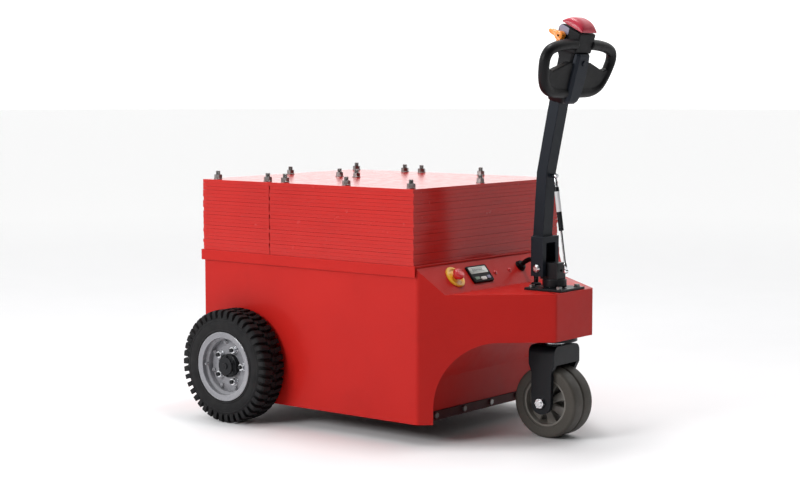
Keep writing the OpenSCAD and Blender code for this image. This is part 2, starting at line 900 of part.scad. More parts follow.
module fork_profile() {
    leg = leg_w / 2;
    polygon(concat(
        [[-crown_back, crown_top + 1], [-crown_back, crown_under], [-leg, crown_under - 26]],
        [for (a = [180:15:360]) [leg * cos(a), front_z + leg * sin(a)]],
        [[leg, crown_under - 26], [crown_front, crown_under], [crown_front, crown_top + 1]]
    ));
}

module steering_fork() {
    color(black) from_axle() at_steering() difference() {
        intersection() {
            translate([-far / 2, 0, 0]) rotate([90, 0, 90]) linear_extrude(far) crown_outline();
            along_y(-leg_out - 1, leg_out + 1) fork_profile();
        }
        translate([0, 0, front_z]) rod_y(front_axle_d / 2 + fit, -leg_out - 1, leg_out + 1);
        translate([0, 0, crown_under - 1]) cylinder(r = kingpin_r + fit, h = 100);
    }
}

module kingpin() {
    color(steel) from_axle() at_steering() translate([0, 0, crown_under + 2])
        cylinder(r = kingpin_r, h = block_z + 22 - crown_under - 2);
}

module front_axle() {
    nut = 1.5 * front_axle_d;
    color(steel) from_axle() at_steering() translate([0, 0, front_z]) {
        rod_y(front_axle_d / 2, -leg_out - 14, leg_out + 14);
        for (side = [-1, 1])
            mirror([0, side < 0 ? 1 : 0, 0])
                translate([0, leg_out, 0]) rotate([-90, 0, 0]) hexagon_bar(nut, 11);
    }
}

module front_tyre() {
    r = front_z;
    w = front_w / 2;
    seat = r - 38;
    color("#6a665f") from_axle() at_steering() translate([0, 0, front_z]) turned_y() polygon([
        [seat, -w + 4], [r - 8, -w], [r - 2.5, -w + 2.5], [r, -w + 9],
        [r, -7], [r - 7, -4], [r - 7, 4], [r, 7],
        [r, w - 9], [r - 2.5, w - 2.5], [r - 8, w], [seat, w - 4]
    ]);
}

module front_wheel_hub() {
    seat = front_z - 38 - 0.05;
    band = seat - 10;
    w = front_w / 2 - 5;
    color("#8b8780") from_axle() at_steering() translate([0, 0, front_z]) {
        turned_y() polygon([
            [front_axle_d / 2 + fit, -w], [front_hub_r, -w], [front_hub_r, w],
            [front_axle_d / 2 + fit, w]
        ]);
        turned_y() polygon([[band, -12], [seat - 7, -w], [seat, -w], [seat, w], [seat - 7, w], [band, 12]]);
        for (i = [0:4])
            rotate([0, 72 * i, 0]) intersection() {
                block([front_hub_r - 4, -12, -front_spoke_w / 2], [band + 2, 12, front_spoke_w / 2]);
                difference() {
                    rod_y(band - fit, -13, 13);
                    rod_y(front_hub_r + fit, -14, 14);
                }
            }
    }
}

module swivel_collar() {
    color(black) from_axle() at_steering() translate([0, 0, collar_z])
        ring(collar_d / 2, kingpin_r + fit, collar_h);
}

module pivot_block() {
    lug_w = bracket_w - 2 * bracket_t - 2;
    color(black) from_axle() difference() {
        union() {
            block([pivot_x, -block_w / 2, block_z], [steer_x + block_front, block_w / 2, block_z + block_h]);
            translate([pivot_x, 0, pivot_z]) rod_y(lug_r, -lug_w / 2, lug_w / 2);
        }
        translate([pivot_x, 0, pivot_z]) rod_y(pivot_pin_d / 2 + fit, -lug_w, lug_w);
        at_steering() translate([0, 0, block_z - step]) cylinder(r = kingpin_r + fit, h = 23);
        translate([steer_x + block_front - 12, 0, gas_low[1]]) rotate([0, 90, 0])
            cylinder(r = 5 + fit, h = 20);
    }
}

module pivot_pin() {
    end = bracket_w / 2;
    color(steel) from_axle() translate([pivot_x, 0, pivot_z]) {
        rod_y(pivot_pin_d / 2, -end - 4, end + 9);
        translate([0, -end - air, 0]) rotate([90, 0, 0]) {
            cylinder(r = 13, h = 3);
            translate([0, 0, 3 - step]) cylinder(r1 = 13, r2 = 8, h = 5);
        }
        translate([0, end + air, 0]) rotate([-90, 0, 0]) cylinder(r = 12, h = 4);
    }
}

// ---- Gas spring ----

module gas_spring_rod() {
    color(steel) from_axle() at_gas_low() {
        cylinder(d = gas_rod_d, h = gas_rod_l);
        translate([0, 0, gas_rod_l - 8]) cylinder(r = gas_d / 2 - 2, h = 8);
        cylinder(r = 5.5, h = 26);
        rod_y(gas_eye_r, -7, 7);
    }
}

module gas_spring_cylinder() {
    low = gas_cylinder_low;
    high = gas_cylinder_high;
    color(black) from_axle() at_gas_low() difference() {
        union() {
            translate([0, 0, low]) cylinder(d = gas_d, h = high - low);
            translate([0, 0, high - step]) cylinder(r = 5.5, h = gas_l - high - 7);
            translate([0, 0, gas_l]) rotate([0, 90 - gas_lean, 0]) translate([0, 0, -2])
                cylinder(r = gas_eye_r, h = 12);
        }
        translate([0, 0, low - step]) cylinder(r = gas_rod_d / 2 + fit, h = 20);
        translate([0, 0, low + 10]) cylinder(r = gas_d / 2 - 1.9, h = high - low - 20);
    }
}

// ---- Tiller ----

module tiller_bracket() {
    w = bracket_w / 2;
    rear = pivot_x - bracket_x / 2;
    front = pivot_x + bracket_x / 2;
    color(slate) from_axle() difference() {
        block([rear, -w, bracket_z], [front, w, bracket_top]);
        block([rear + bracket_t, -w + bracket_t, bracket_z - step],
            [front - bracket_t, w - bracket_t, bracket_top - 10]);
        block([pivot_x, -slot_w / 2, bracket_z - step], [front + step, slot_w / 2, slot_top]);
        translate([pivot_x, 0, pivot_z]) rod_y(pivot_pin_d / 2 + fit, -w - 1, w + 1);
    }
}

// The tube's middle line: a point at a height above the bracket, before or past the bend
module tube_solid(x, w) {
    low_end = x / 2;
    along_y(-w / 2, w / 2) polygon([
        [tube_start_x - low_end, bracket_top], [tube_start_x + low_end, bracket_top],
        [bend_x + low_end, bend_z], [head_x + low_end, head_z - low_end * tan(head_lean)],
        [head_x - low_end, head_z + low_end * tan(head_lean)], [bend_x - low_end, bend_z]
    ]);
}

module tiller_tube() {
    stud_x = gas_high[0] - 17;
    color(slate) from_axle() {
        difference() {
            tube_solid(tube_x, tube_w);
            intersection() {
                tube_solid(tube_x - 2 * tube_t, tube_w - 2 * tube_t);
                block([0, -far, bracket_top + tube_t], [far, far, head_z - 3 * tube_t]);
            }
        }
        translate([stud_x, 0, gas_high[1]]) rotate([0, 90, 0]) cylinder(r = 6, h = 14);
    }
}

// ---- Tiller head ----

// The head's casing seen from the side, in the head's frame
module casing_outline() {
    polygon([
        [-24, 0], [34, 0], [44, 14], [36, hub_low_z - 6], [44, hub_low_z],
        [belly_front[0], belly_front[1] - belly_gap], [belly_rear[0], belly_rear[1] - belly_gap],
        [-40, 236], [-38, hub_low_z + 4], [-20, hub_low_z - 30], [-16, 60], [-24, 30]
    ]);
}

module casing_front_outline() {
    polygon([
        [-38, 0], [38, 0], [58, 26], [58, 70], [44, 120], [casing_w / 2, hub_low_z - 8],
        [hub_w / 2, hub_low_z], [hub_w / 2, 300], [-hub_w / 2, 300], [-hub_w / 2, hub_low_z],
        [-casing_w / 2, hub_low_z - 8], [-44, 120], [-58, 70], [-58, 26]
    ]);
}

module head_casing() {
    color(black) from_axle() at_head() difference() {
        intersection() {
            along_y(-70, 70) casing_outline();
            translate([-100, 0, 0]) rotate([90, 0, 90]) linear_extrude(200) casing_front_outline();
        }
        translate([throttle_at[0], 0, throttle_at[1]])
            rod_y(throttle_shaft_d / 2 + fit, -hub_w, hub_w);
        grip_cut();
        horn_bore();
        at_belly() translate([0, 0, -belly_stem_l - 8]) cylinder(r = belly_stem_r + fit, h = 60);
    }
}

// The ridge on the front of the head, wide at the top and narrow at the bottom
module head_cover() {
    color(slate) from_axle() at_head() difference() {
        intersection() {
            along_y(-50, 50) polygon([
                [46, 8], [62, 12], [53, hub_low_z - 6], [38, hub_low_z - 2], [38, hub_low_z - 8]
            ]);
            translate([-100, 0, 0]) rotate([90, 0, 90]) linear_extrude(200)
                polygon([[-18, 0], [18, 0], [40, hub_low_z], [-40, hub_low_z]]);
        }
        along_y(-60, 60) casing_outline();
        grip_cut();
        horn_bore();
    }
}

// A quarter bend of the grip tube about a centre in Y and Z
module grip_corner(y, z, bend, a) {
    translate([grip_x, y, z]) rotate([0, -90, 0]) rotate([0, 0, a])
        rotate_extrude(angle = 90) translate([bend, 0]) circle(r = grip_r);
}

// Seats for the low cross tube and for the loops' inner legs
module grip_cut() {
    translate([grip_x, 0, grip_low_z]) rod_y(grip_r + fit, -100, 100);
    for (side = [-1, 1])
        translate([grip_x, side * grip_inner_y, grip_low_z])
            cylinder(r = grip_r + fit, h = grip_h);
}

module horn_bore() {
    translate([horn_at[0] - horn_l - 4, 0, horn_at[1]]) rotate([0, 90, 0])
        cylinder(r = horn_r + fit, h = horn_l + 10);
}

module grip_loops() {
    low = grip_low_z;
    high = grip_high_z;
    color(black) from_axle() at_head()
        for (side = [-1, 1])
            mirror([0, side < 0 ? 1 : 0, 0]) {
                translate([grip_x, 0, low]) rod_y(grip_r, 0, grip_y - grip_bend + step);
                translate([grip_x, 0, high])
                    rod_y(grip_r, grip_inner_y + grip_inner_bend - step, grip_y - grip_bend + step);
                grip_corner(grip_y - grip_bend, high - grip_bend, grip_bend, 0);
                grip_corner(grip_y - grip_bend, low + grip_bend, grip_bend, 90);
                grip_corner(grip_inner_y + grip_inner_bend, high - grip_inner_bend, grip_inner_bend, -90);
                translate([grip_x, grip_y, low + grip_bend - step])
                    cylinder(r = grip_r, h = high - low - 2 * grip_bend + 2 * step);
                translate([grip_x, grip_inner_y, low])
                    cylinder(r = grip_r, h = high - low - grip_inner_bend + step);
                translate([grip_x - grip_web_t / 2, 0, 0]) rotate([90, 0, 90])
                    linear_extrude(grip_web_t) polygon([
                        [grip_inner_y, low], [grip_inner_y, low + 100], [grip_y - 38, low + 72],
                        [grip_y, low + 96], [grip_y, low + grip_bend], [grip_y - grip_bend, low]
                    ]);
            }
}

// Places children on the middle of the belly button's seat, Z out of it
module at_belly() {
    middle = (belly_rear + belly_front) / 2;
    translate([middle[0], 0, middle[1]]) rotate([0, belly_slope, 0]) children();
}

module belly_button() {
    crown_z = 150;
    color("#b3202e") from_axle() at_head() {
        intersection() {
            along_y(-hub_w / 2, hub_w / 2) polygon([
                belly_rear, belly_front, belly_front + [6, 8], belly_front + [-14, 26],
                belly_rear + [12, belly_t + 2], belly_rear + [0, 8]
            ]);
            translate([-100, 0, crown_z]) rotate([0, 90, 0]) cylinder(r = 126, h = 200, $fn = 128);
        }
        at_belly() translate([0, 0, -belly_stem_l]) cylinder(r = belly_stem_r, h = belly_stem_l + 4);
    }
}

module throttle() {
    color("#f08a1d") from_axle() at_head() translate([throttle_at[0], 0, throttle_at[1]]) {
        rod_y(throttle_shaft_d / 2, -hub_w / 2 - 4, hub_w / 2 + 4);
        for (side = [-1, 1])
            mirror([0, side < 0 ? 1 : 0, 0])
                along_y(hub_w / 2 + 1, hub_w / 2 + 25) {
                    circle(r = 15);
                    wing(-70, throttle_reach);
                    wing(168, throttle_reach);
                }
    }
}

// One wing of the throttle's butterfly, from its hub out to a rounded tip
module wing(a, reach) {
    tip_r = 7;
    rotate([0, 0, a]) {
        polygon([[0, 14], [0, -14], [reach - tip_r, -tip_r], [reach - tip_r, tip_r]]);
        translate([reach - tip_r, 0]) circle(r = tip_r);
    }
}

module horn_button() {
    color(steel) from_axle() at_head() translate([horn_at[0] - horn_l, 0, horn_at[1]])
        rotate([0, 90, 0]) cylinder(r = horn_r, h = horn_l);
}

// ---- Console ----

module estop_collar() {
    color("#e8b21c") from_axle() on_console(estop_at) ring(estop_collar_d / 2, 11, 5);
}

module estop_mushroom() {
    color(red) from_axle() on_console(estop_at) {
        translate([0, 0, -20]) cylinder(r = 11 - fit, h = 34);
        translate([0, 0, 12]) cylinder(d1 = estop_d - 8, d2 = estop_d, h = 6);
        translate([0, 0, 18 - step]) cylinder(d = estop_d, h = 4);
        translate([0, 0, 22 - 2 * step]) cylinder(d1 = estop_d, d2 = estop_d - 14, h = 6);
    }
}

module display_bezel() {
    l = display_l / 2;
    w = display_w / 2;
    color(black) from_axle() on_console(display_at) difference() {
        block([-l, -w, 0], [l, w, 7]);
        block([-l + 8, -w + 8, 4], [-2, w - 8, 8]);
    }
}

module display_glass() {
    l = display_l / 2;
    w = display_w / 2;
    color("#aeb8b4") from_axle() on_console(display_at)
        block([-l + 8, -w + 8, 4], [-2, w - 8, 6]);
}

module indicator_lamps() {
    color("#c23a35") from_axle()
        for (at = lamps_at)
            on_console(at) {
                cylinder(r = 7, h = 2);
                translate([0, 0, 2 - step]) cylinder(r1 = 5, r2 = 3, h = 3);
            }
}

module gland_body() {
    difference() {
        union() {
            cylinder(r = gland_r, h = 5);
            translate([0, 0, 5 - step]) cylinder(r1 = gland_r - 3, r2 = gland_r - 7, h = gland_h - 5);
        }
        translate([0, 0, -step]) cylinder(r = hose_d / 2 - 2, h = gland_h + 1);
    }
}

module cable_glands() {
    color(black) from_axle() {
        on_console(gland_at) gland_body();
        translate([nose_gland_at[0], nose_gland_at[1], nose_top]) gland_body();
    }
}

// The hose's middle line, a smooth curve between its two glands
hose_out = [sin(console_slope), 0, cos(console_slope)];
hose_start = [console_top_x + gland_at[0] * cos(console_slope), gland_at[1],
    console_top_z - gland_at[0] * sin(console_slope)] + gland_h * hose_out;
hose_end = [nose_gland_at[0], nose_gland_at[1], nose_top + gland_h];
hose_pull = 62;
hose_drop = 58;

function bezier(t) =
    let (a = hose_start, b = hose_start + hose_pull * hose_out,
        c = hose_end + [0, 0, hose_drop], d = hose_end, s = 1 - t)
    s * s * s * a + 3 * s * s * t * b + 3 * s * t * t * c + t * t * t * d;

module wiring_hose() {
    rings = 16;
    sides = 12;
    points = [for (i = [0:rings])
        let (t = i / rings, p = bezier(t), q = bezier(t + 0.001) - bezier(t - 0.001),
            along = q / norm(q), across = cross(along, [0, 1, 0]),
            u = across / norm(across), v = cross(along, u))
        for (k = [0:sides - 1])
            p + hose_d / 2 * (u * cos(360 * k / sides) + v * sin(360 * k / sides))];
    walls = [for (i = [0:rings - 1], k = [0:sides - 1])
        [i * sides + k, i * sides + (k + 1) % sides,
            (i + 1) * sides + (k + 1) % sides, (i + 1) * sides + k]];
    caps = [[for (k = [sides - 1:-1:0]) k], [for (k = [0:sides - 1]) rings * sides + k]];
    color(black) from_axle() polyhedron(points, concat(walls, caps));
}

side_panel_left();
side_panel_right();
rear_panel();
front_bulkhead();
floor_plate();
nose_front_panel();
nose_top_plate();
console_panel();
ballast_tray();
chassis_frame();
rear_ballast_plates();
front_ballast_plates();
ballast_studs();
ballast_nuts();
batteries();
battery_clamp();
motor_controller();
charging_inlet();
axle_housing();
drive_motor();
tow_hitch();
frame_bolts();
kingpin_bearings();
lower_bearing_plate();
swivel_base_plate();
base_plate_bolts();
estop_collar();
display_bezel();
display_glass();
indicator_lamps();
cable_glands();
wiring_hose();
estop_mushroom();
tow_pin();
rear_tyre_left();
rear_rim_left();
rear_hub_left();
wheel_nuts_left();
rear_tyre_right();
rear_rim_right();
rear_hub_right();
wheel_nuts_right();
front_tyre();
front_wheel_hub();
steering_fork();
kingpin();
front_axle();
swivel_collar();
pivot_block();
pivot_pin();
gas_spring_rod();
gas_spring_cylinder();
tiller_bracket();
tiller_tube();
head_casing();
head_cover();
grip_loops();
belly_button();
throttle();
horn_button();
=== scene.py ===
import json
import math

import bpy
from mathutils import Matrix, Vector


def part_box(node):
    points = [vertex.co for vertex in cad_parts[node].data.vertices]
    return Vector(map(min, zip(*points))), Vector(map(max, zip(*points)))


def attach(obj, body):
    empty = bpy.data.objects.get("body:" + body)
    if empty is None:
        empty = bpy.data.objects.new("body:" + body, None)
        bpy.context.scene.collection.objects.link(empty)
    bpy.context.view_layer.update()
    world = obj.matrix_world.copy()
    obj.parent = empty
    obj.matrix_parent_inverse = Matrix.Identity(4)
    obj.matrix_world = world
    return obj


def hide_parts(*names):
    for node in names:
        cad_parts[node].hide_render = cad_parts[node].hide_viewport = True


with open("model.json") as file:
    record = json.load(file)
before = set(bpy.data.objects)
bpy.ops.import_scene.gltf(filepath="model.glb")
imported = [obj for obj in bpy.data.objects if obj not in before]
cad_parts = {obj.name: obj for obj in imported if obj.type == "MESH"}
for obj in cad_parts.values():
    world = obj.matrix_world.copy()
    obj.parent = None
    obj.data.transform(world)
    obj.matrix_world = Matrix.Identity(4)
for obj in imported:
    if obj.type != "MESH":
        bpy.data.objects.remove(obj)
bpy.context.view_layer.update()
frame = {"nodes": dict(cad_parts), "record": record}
nodes = frame["nodes"]
print("frame loaded:", len(nodes), "nodes")


# ---- small helpers for meshes ----

def rad(degrees):
    return math.radians(degrees)


def newPiece(name, part, finish, body, sharp=30, instead=None):
    # part is (points, faces); instead names the CAD node that this piece stands in for
    points, faces = part
    mesh = bpy.data.meshes.new(name)
    mesh.from_pydata([tuple(p) for p in points], [], [tuple(f) for f in faces])
    mesh.validate()
    mesh.polygons.foreach_set("use_smooth", [True] * len(mesh.polygons))
    mesh.set_sharp_from_angle(angle=rad(sharp))
    mesh.materials.append(finishes[finish])
    piece = bpy.data.objects.new(name, mesh)
    bpy.context.scene.collection.objects.link(piece)
    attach(piece, body)
    if instead:
        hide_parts(instead)
    return piece


def joined(parts):
    # parts are (points, faces); they become one list of each
    points, faces = [], []
    for somePoints, someFaces in parts:
        start = len(points)
        points += list(somePoints)
        faces += [[start + i for i in face] for face in someFaces]
    return points, faces


def placed(part, matrix):
    points, faces = part
    return [matrix @ Vector(p) for p in points], faces


def polar(r, a, z=0.0):
    return r * math.cos(a), r * math.sin(a), z


def around(count, start=0.0):
    # evenly spaced angles; start is a share of the spacing
    return [2 * math.pi * (k + start) / count for k in range(count)]


def flipped(faces):
    return [face[::-1] for face in faces]


def shifted(x, y, z):
    return Matrix.Translation((x, y, z))


def towardsY(side):
    # turns a part made along +Z so that it points along +Y or -Y
    return Matrix.Rotation(-side * math.pi / 2, 4, "X")


def lathe(outline, steps=96, closed=True):
    # outline is (radius, height) round the Z axis; closed joins its last point to its first
    points, faces = [], []
    count = len(outline)
    for k in range(steps):
        a = 2 * math.pi * k / steps
        points += [polar(r, a, h) for r, h in outline]
    spans = count if closed else count - 1
    for k in range(steps):
        here, there = k * count, (k + 1) % steps * count
        for i in range(spans):
            j = (i + 1) % count
            faces.append((here + i, there + i, there + j, here + j))
    if not closed:
        faces.append([k * count for k in range(steps)][::-1])
        faces.append([k * count + count - 1 for k in range(steps)])
    return points, faces


def mirrored(outline):
    # the same outline below the middle plane, walked back
    return [(r, -h) for r, h in reversed(outline)]


def roundedCorners(corners, radius, steps=5):
    # a flat outline with each corner turned to an arc; a corner may be (x, y, its own radius)
    path = []
    count = len(corners)
    for i, corner in enumerate(corners):
        here = Vector(corner[:2])
        r = corner[2] if len(corner) > 2 else radius
        before = (Vector(corners[i - 1][:2]) - here)
        after = (Vector(corners[(i + 1) % count][:2]) - here)
        half = before.angle(after) / 2
        reach = min(r / math.tan(half), before.length * 0.48, after.length * 0.48)
        r = reach * math.tan(half)
        if r < 1e-6:
            path.append(tuple(here))
            continue
        u, v = before.normalized(), after.normalized()
        centre = here + (u + v).normalized() * (r / math.sin(half))
        start, end = here + u * reach - centre, here + v * reach - centre
        turn = start.angle_signed(end)
        for k in range(steps + 1):
            spun = Matrix.Rotation(-turn * k / steps, 2) @ start
            path.append(tuple(centre + spun))
    return path


def oblong(halfX, halfY):
    return [(-halfX, -halfY), (halfX, -halfY), (halfX, halfY), (-halfX, halfY)]


def extruded(outline, low, high):
    # a prism along Z from a flat outline
    count = len(outline)
    points = [(x, y, low) for x, y in outline] + [(x, y, high) for x, y in outline]
    faces = [(i, (i + 1) % count, count + (i + 1) % count, count + i) for i in range(count)]
    faces.append(list(range(count))[::-1])
    faces.append([count + i for i in range(count)])
    return points, faces


def lofted(rings):
    # rings are equal-length lists of points, stacked; both ends are capped
    count = len(rings[0])
    points = [p for ring in rings for p in ring]
    faces = []
    for k in range(len(rings) - 1):
        for i in range(count):
            j = (i + 1) % count
            faces.append((k * count + i, k * count + j, (k + 1) * count + j, (k + 1) * count + i))
    faces.append(list(range(count))[::-1])
    faces.append([(len(rings) - 1) * count + i for i in range(count)])
    return points, faces


def tube(path, radii, sides=24):
    # a round tube along a path, with its own radius at each point
    path = [Vector(p) for p in path]
    across = None
    rings = []
    for i, here in enumerate(path):
        along = (path[min(i + 1, len(path) - 1)] - path[max(i - 1, 0)]).normalized()
        if across is None:
            across = along.orthogonal().normalized()
        across = (across - along * across.dot(along)).normalized()
        other = along.cross(across)
        r = radii[i] if isinstance(radii, (list, tuple)) else radii
        rings.append([here + r * (across * math.cos(2 * math.pi * k / sides)
                                  + other * math.sin(2 * math.pi * k / sides)) for k in range(sides)])
    return lofted(rings)


def hexHead(flats, height, bore=0.0, chamfer=0.5, steps=48):
    # a hexagon nut or bolt head along +Z, with the turned chamfer on its top corners
    rings = [[], [], [], [], []]   # foot, shoulder, crown, bore's mouth, bore's foot
    for k in range(steps):
        a = 2 * math.pi * k / steps
        off = (a + math.pi / 6) % (math.pi / 3) - math.pi / 6
        r = flats / 2 / math.cos(off)
        drop = max(0.0, (r - flats / 2 * 0.97)) * chamfer
        column = (polar(r, a), polar(r, a, height - drop), polar(flats / 2 * 0.94, a, height),
                  polar(bore, a, height), polar(bore, a))
        for ring, point in zip(rings, column):
            ring.append(point)
    if not bore:
        return lofted(rings[:3])
    points = [p for ring in rings for p in ring]
    faces = []
    for k in range(5):
        for i in range(steps):
            j = (i + 1) % steps
            n = (k + 1) % 5
            faces.append((k * steps + i, k * steps + j, n * steps + j, n * steps + i))
    return points, faces


def washer(outer, inner, thick, steps=48):
    edge = thick * 0.25
    outline = [(inner, 0), (outer, 0), (outer, thick - edge), (outer - edge, thick), (inner, thick)]
    return lathe(outline, steps)


def thread(radius, pitch, length, sides=20):
    # the turned flanks of a screw thread, crest and root, closed by a chamfered tip
    root = radius - pitch * 0.54
    turns = int(length / pitch)
    total = turns * sides
    points, faces = [], []
    for k in range(total + sides + 1):
        a = 2 * math.pi * k / sides
        z = min(pitch * k / sides, length)
        tip = min(pitch * k / sides + pitch / 2, length)
        near = min(1.0, max(0.0, (length - tip) / pitch + 0.35))
        crest = root + (radius - root) * near
        points += [polar(root, a, z), polar(crest, a, tip)]
    for k in range(total + sides):
        faces.append((2 * k, 2 * k + 2, 2 * k + 3, 2 * k + 1))
        if k + sides <= total + sides - 1:
            faces.append((2 * k + 1, 2 * k + 3, 2 * (k + sides) + 2, 2 * (k + sides)))
    last = total + sides
    centre = len(points)
    points.append((0, 0, length))
    for k in range(last - sides, last):
        faces.append((2 * k + 1, 2 * k + 3, centre))
    return points, faces


def softened(piece, width, steps=2, angle=30):
    bevel = piece.modifiers.new("edges", "BEVEL")
    bevel.width = width
    bevel.segments = steps
    bevel.limit_method = "ANGLE"
    bevel.angle_limit = rad(angle)
    bevel.miter_outer = "MITER_ARC"
    bevel.use_clamp_overlap = True
    even = piece.modifiers.new("shading", "WEIGHTED_NORMAL")
    even.keep_sharp = False
    even.weight = 80
    return piece


# ---- finishes ----

class Finish:
    # one procedural material; add() makes a node and links the inputs that are given as sockets
    def __init__(self, name, **sockets):
        self.mat = bpy.data.materials.new(name)
        self.mat.use_nodes = True
        self.tree = self.mat.node_tree
        self.tree.nodes.clear()
        self.shader = self.tree.nodes.new("ShaderNodeBsdfPrincipled")
        out = self.tree.nodes.new("ShaderNodeOutputMaterial")
        self.tree.links.new(self.shader.outputs[0], out.inputs[0])
        self.place = self.tree.nodes.new("ShaderNodeTexCoord").outputs["Object"]
        for socket, value in sockets.items():
            self.shader.inputs[socket.replace("_", " ")].default_value = value

    def add(self, kind, inputs=None, **settings):
        node = self.tree.nodes.new(kind)
        for key, value in settings.items():
            setattr(node, key, value)
        for key, value in (inputs or {}).items():
            if isinstance(value, bpy.types.NodeSocket):
                self.tree.links.new(value, node.inputs[key])
            else:
                node.inputs[key].default_value = value
        return node

    def noise(self, scale, detail=3.0, rough=0.5, place=None):
        return self.add("ShaderNodeTexNoise", {"Vector": place or self.place, "Scale": scale,
                                               "Detail": detail, "Roughness": rough}).outputs["Fac"]

    def ranged(self, value, low, high, toLow, toHigh):
        return self.add("ShaderNodeMapRange", {"Value": value, "From Min": low, "From Max": high,
                                               "To Min": toLow, "To Max": toHigh}).outputs["Result"]

    def times(self, a, b):
        return self.add("ShaderNodeMath", {0: a, 1: b}, operation="MULTIPLY").outputs[0]

    def mixed(self, factor, a, b):
        node = self.add("ShaderNodeMix", {"Factor": factor}, data_type="RGBA")
        for key, value in (("A", a), ("B", b)):
            socket = next(i for i in node.inputs if i.name == key and i.type == "RGBA")
            if isinstance(value, bpy.types.NodeSocket):
                self.tree.links.new(value, socket)
            else:
                socket.default_value = (*value, 1)
        return next(o for o in node.outputs if o.type == "RGBA")

    def bump(self, height, strength, distance, onto=None):
        inputs = {"Height": height, "Strength": strength, "Distance": distance}
        if onto is not None:
            inputs["Normal"] = onto
        return self.add("ShaderNodeBump", inputs).outputs["Normal"]

    def into(self, socket, value):
        self.tree.links.new(value, self.shader.inputs[socket])


def edgeMask(finish, width, amount):
    # how much an edge stands out of its surface, broken up so that wear looks rubbed
    rounded = finish.add("ShaderNodeBevel", {"Radius": width}, samples=3).outputs["Normal"]
    plain = finish.add("ShaderNodeNewGeometry").outputs["Normal"]
    same = finish.add("ShaderNodeVectorMath", {0: rounded, 1: plain}, operation="DOT_PRODUCT")
    edge = finish.ranged(same.outputs["Value"], 0.995, 0.80, 0.0, 1.0)
    rubbed = finish.ranged(finish.noise(55, 5, 0.6), 0.42, 0.62, 0.0, 1.0)
    return finish.times(finish.times(edge, rubbed), amount)


def paint(name, base, deep, rough, peel, coat, coatRough=0.08, worn=None, wornBy=0.5, shine=0.25):
    f = Finish(name, Coat_Weight=coat, Coat_Roughness=coatRough)
    f.shader.inputs["Specular IOR Level"].default_value = shine
    tone = f.mixed(f.ranged(f.noise(2.4, 3), 0.35, 0.65, 0, 1), base, deep)
    speckle = f.ranged(f.noise(420, 2), 0.3, 0.7, 0.0, 0.10)
    tone = f.mixed(speckle, tone, tuple(min(1.0, c * 1.5 + 0.01) for c in base))
    grime = f.ranged(f.noise(7, 6, 0.65), 0.55, 0.8, 0.0, 0.22)
    tone = f.mixed(grime, tone, tuple(c * 0.55 for c in base))
    if worn:
        tone = f.mixed(edgeMask(f, 0.0022, wornBy), tone, worn)
    f.into("Base Color", tone)
    mottled = f.ranged(f.noise(26, 4, 0.6), 0.3, 0.7, rough - 0.05, rough + 0.06)
    f.into("Roughness", mottled)
    orangePeel = f.bump(f.noise(330, 2), peel, 0.0006)
    f.into("Normal", f.bump(f.noise(1500, 1), peel * 0.5, 0.0002, orangePeel))
    return f.mat


def metal(name, base, rough, stretch=(1, 1, 1), scratches=0.25, stain=(0.30, 0.26, 0.22)):
    f = Finish(name, Metallic=1.0)
    grainPlace = f.add("ShaderNodeMapping", {"Vector": f.place, "Scale": stretch}).outputs["Vector"]
    tone = f.mixed(f.ranged(f.noise(38, 4), 0.35, 0.7, 0, 0.6), base, tuple(c * 0.78 for c in base))
    tone = f.mixed(f.ranged(f.noise(90, 5, 0.7), 0.58, 0.75, 0.0, 0.35), tone, stain)
    f.into("Base Color", tone)
    f.into("Roughness", f.ranged(f.noise(70, 5, 0.6, grainPlace), 0.3, 0.7, rough - 0.08, rough + 0.12))
    f.into("Normal", f.bump(f.noise(900, 3, 0.6, grainPlace), scratches, 0.0002))
    return f.mat


def rubber(name, base, dusty, rough, grain=0.5, dust=0.3):
    f = Finish(name)
    f.shader.inputs["Specular IOR Level"].default_value = 0.25
    tone = f.mixed(f.ranged(f.noise(9, 6, 0.6), 0.45, 0.75, 0.0, dust), base, dusty)
    tone = f.mixed(f.ranged(f.noise(260, 3), 0.4, 0.75, 0.0, 0.25), tone, tuple(c * 1.7 for c in base))
    f.into("Base Color", tone)
    f.into("Roughness", f.ranged(f.noise(40, 4), 0.3, 0.7, rough - 0.07, min(1.0, rough + 0.08)))
    coarse = f.bump(f.noise(220, 4, 0.6), grain, 0.0006)
    f.into("Normal", f.bump(f.noise(1600, 2), grain * 0.6, 0.0002, coarse))
    return f.mat


def plastic(name, base, rough, grain, coat=0.0, shine=0.5, lift=1.35):
    # moulded plastic: a fine leathery grain and a few rubbed, slightly shinier places
    f = Finish(name, Coat_Weight=coat, Coat_Roughness=0.12)
    f.shader.inputs["Specular IOR Level"].default_value = shine
    cells = f.add("ShaderNodeTexVoronoi", {"Vector": f.place, "Scale": 900.0}).outputs["Distance"]
    tone = f.mixed(f.ranged(f.noise(14, 4), 0.35, 0.7, 0.0, 0.5), base,
                   tuple(min(1.0, c * lift + 0.002) for c in base))
    f.into("Base Color", tone)
    f.into("Roughness", f.ranged(f.noise(30, 5, 0.6), 0.3, 0.7, rough - 0.06, rough + 0.07))
    f.into("Normal", f.bump(cells, grain, 0.0003, f.bump(f.noise(500, 2), grain * 0.6, 0.0003)))
    return f.mat


def lens(name, base, rough):
    f = Finish(name, Coat_Weight=0.9, Coat_Roughness=0.04)
    tone = f.mixed(f.ranged(f.noise(30, 2), 0.3, 0.7, 0, 0.3), base, tuple(c * 0.85 for c in base))
    f.into("Base Color", tone)
    f.into("Roughness", f.ranged(f.noise(60, 3), 0.3, 0.7, rough, rough + 0.05))
    f.into("Normal", f.bump(f.noise(900, 1), 0.05, 0.0001))
    return f.mat


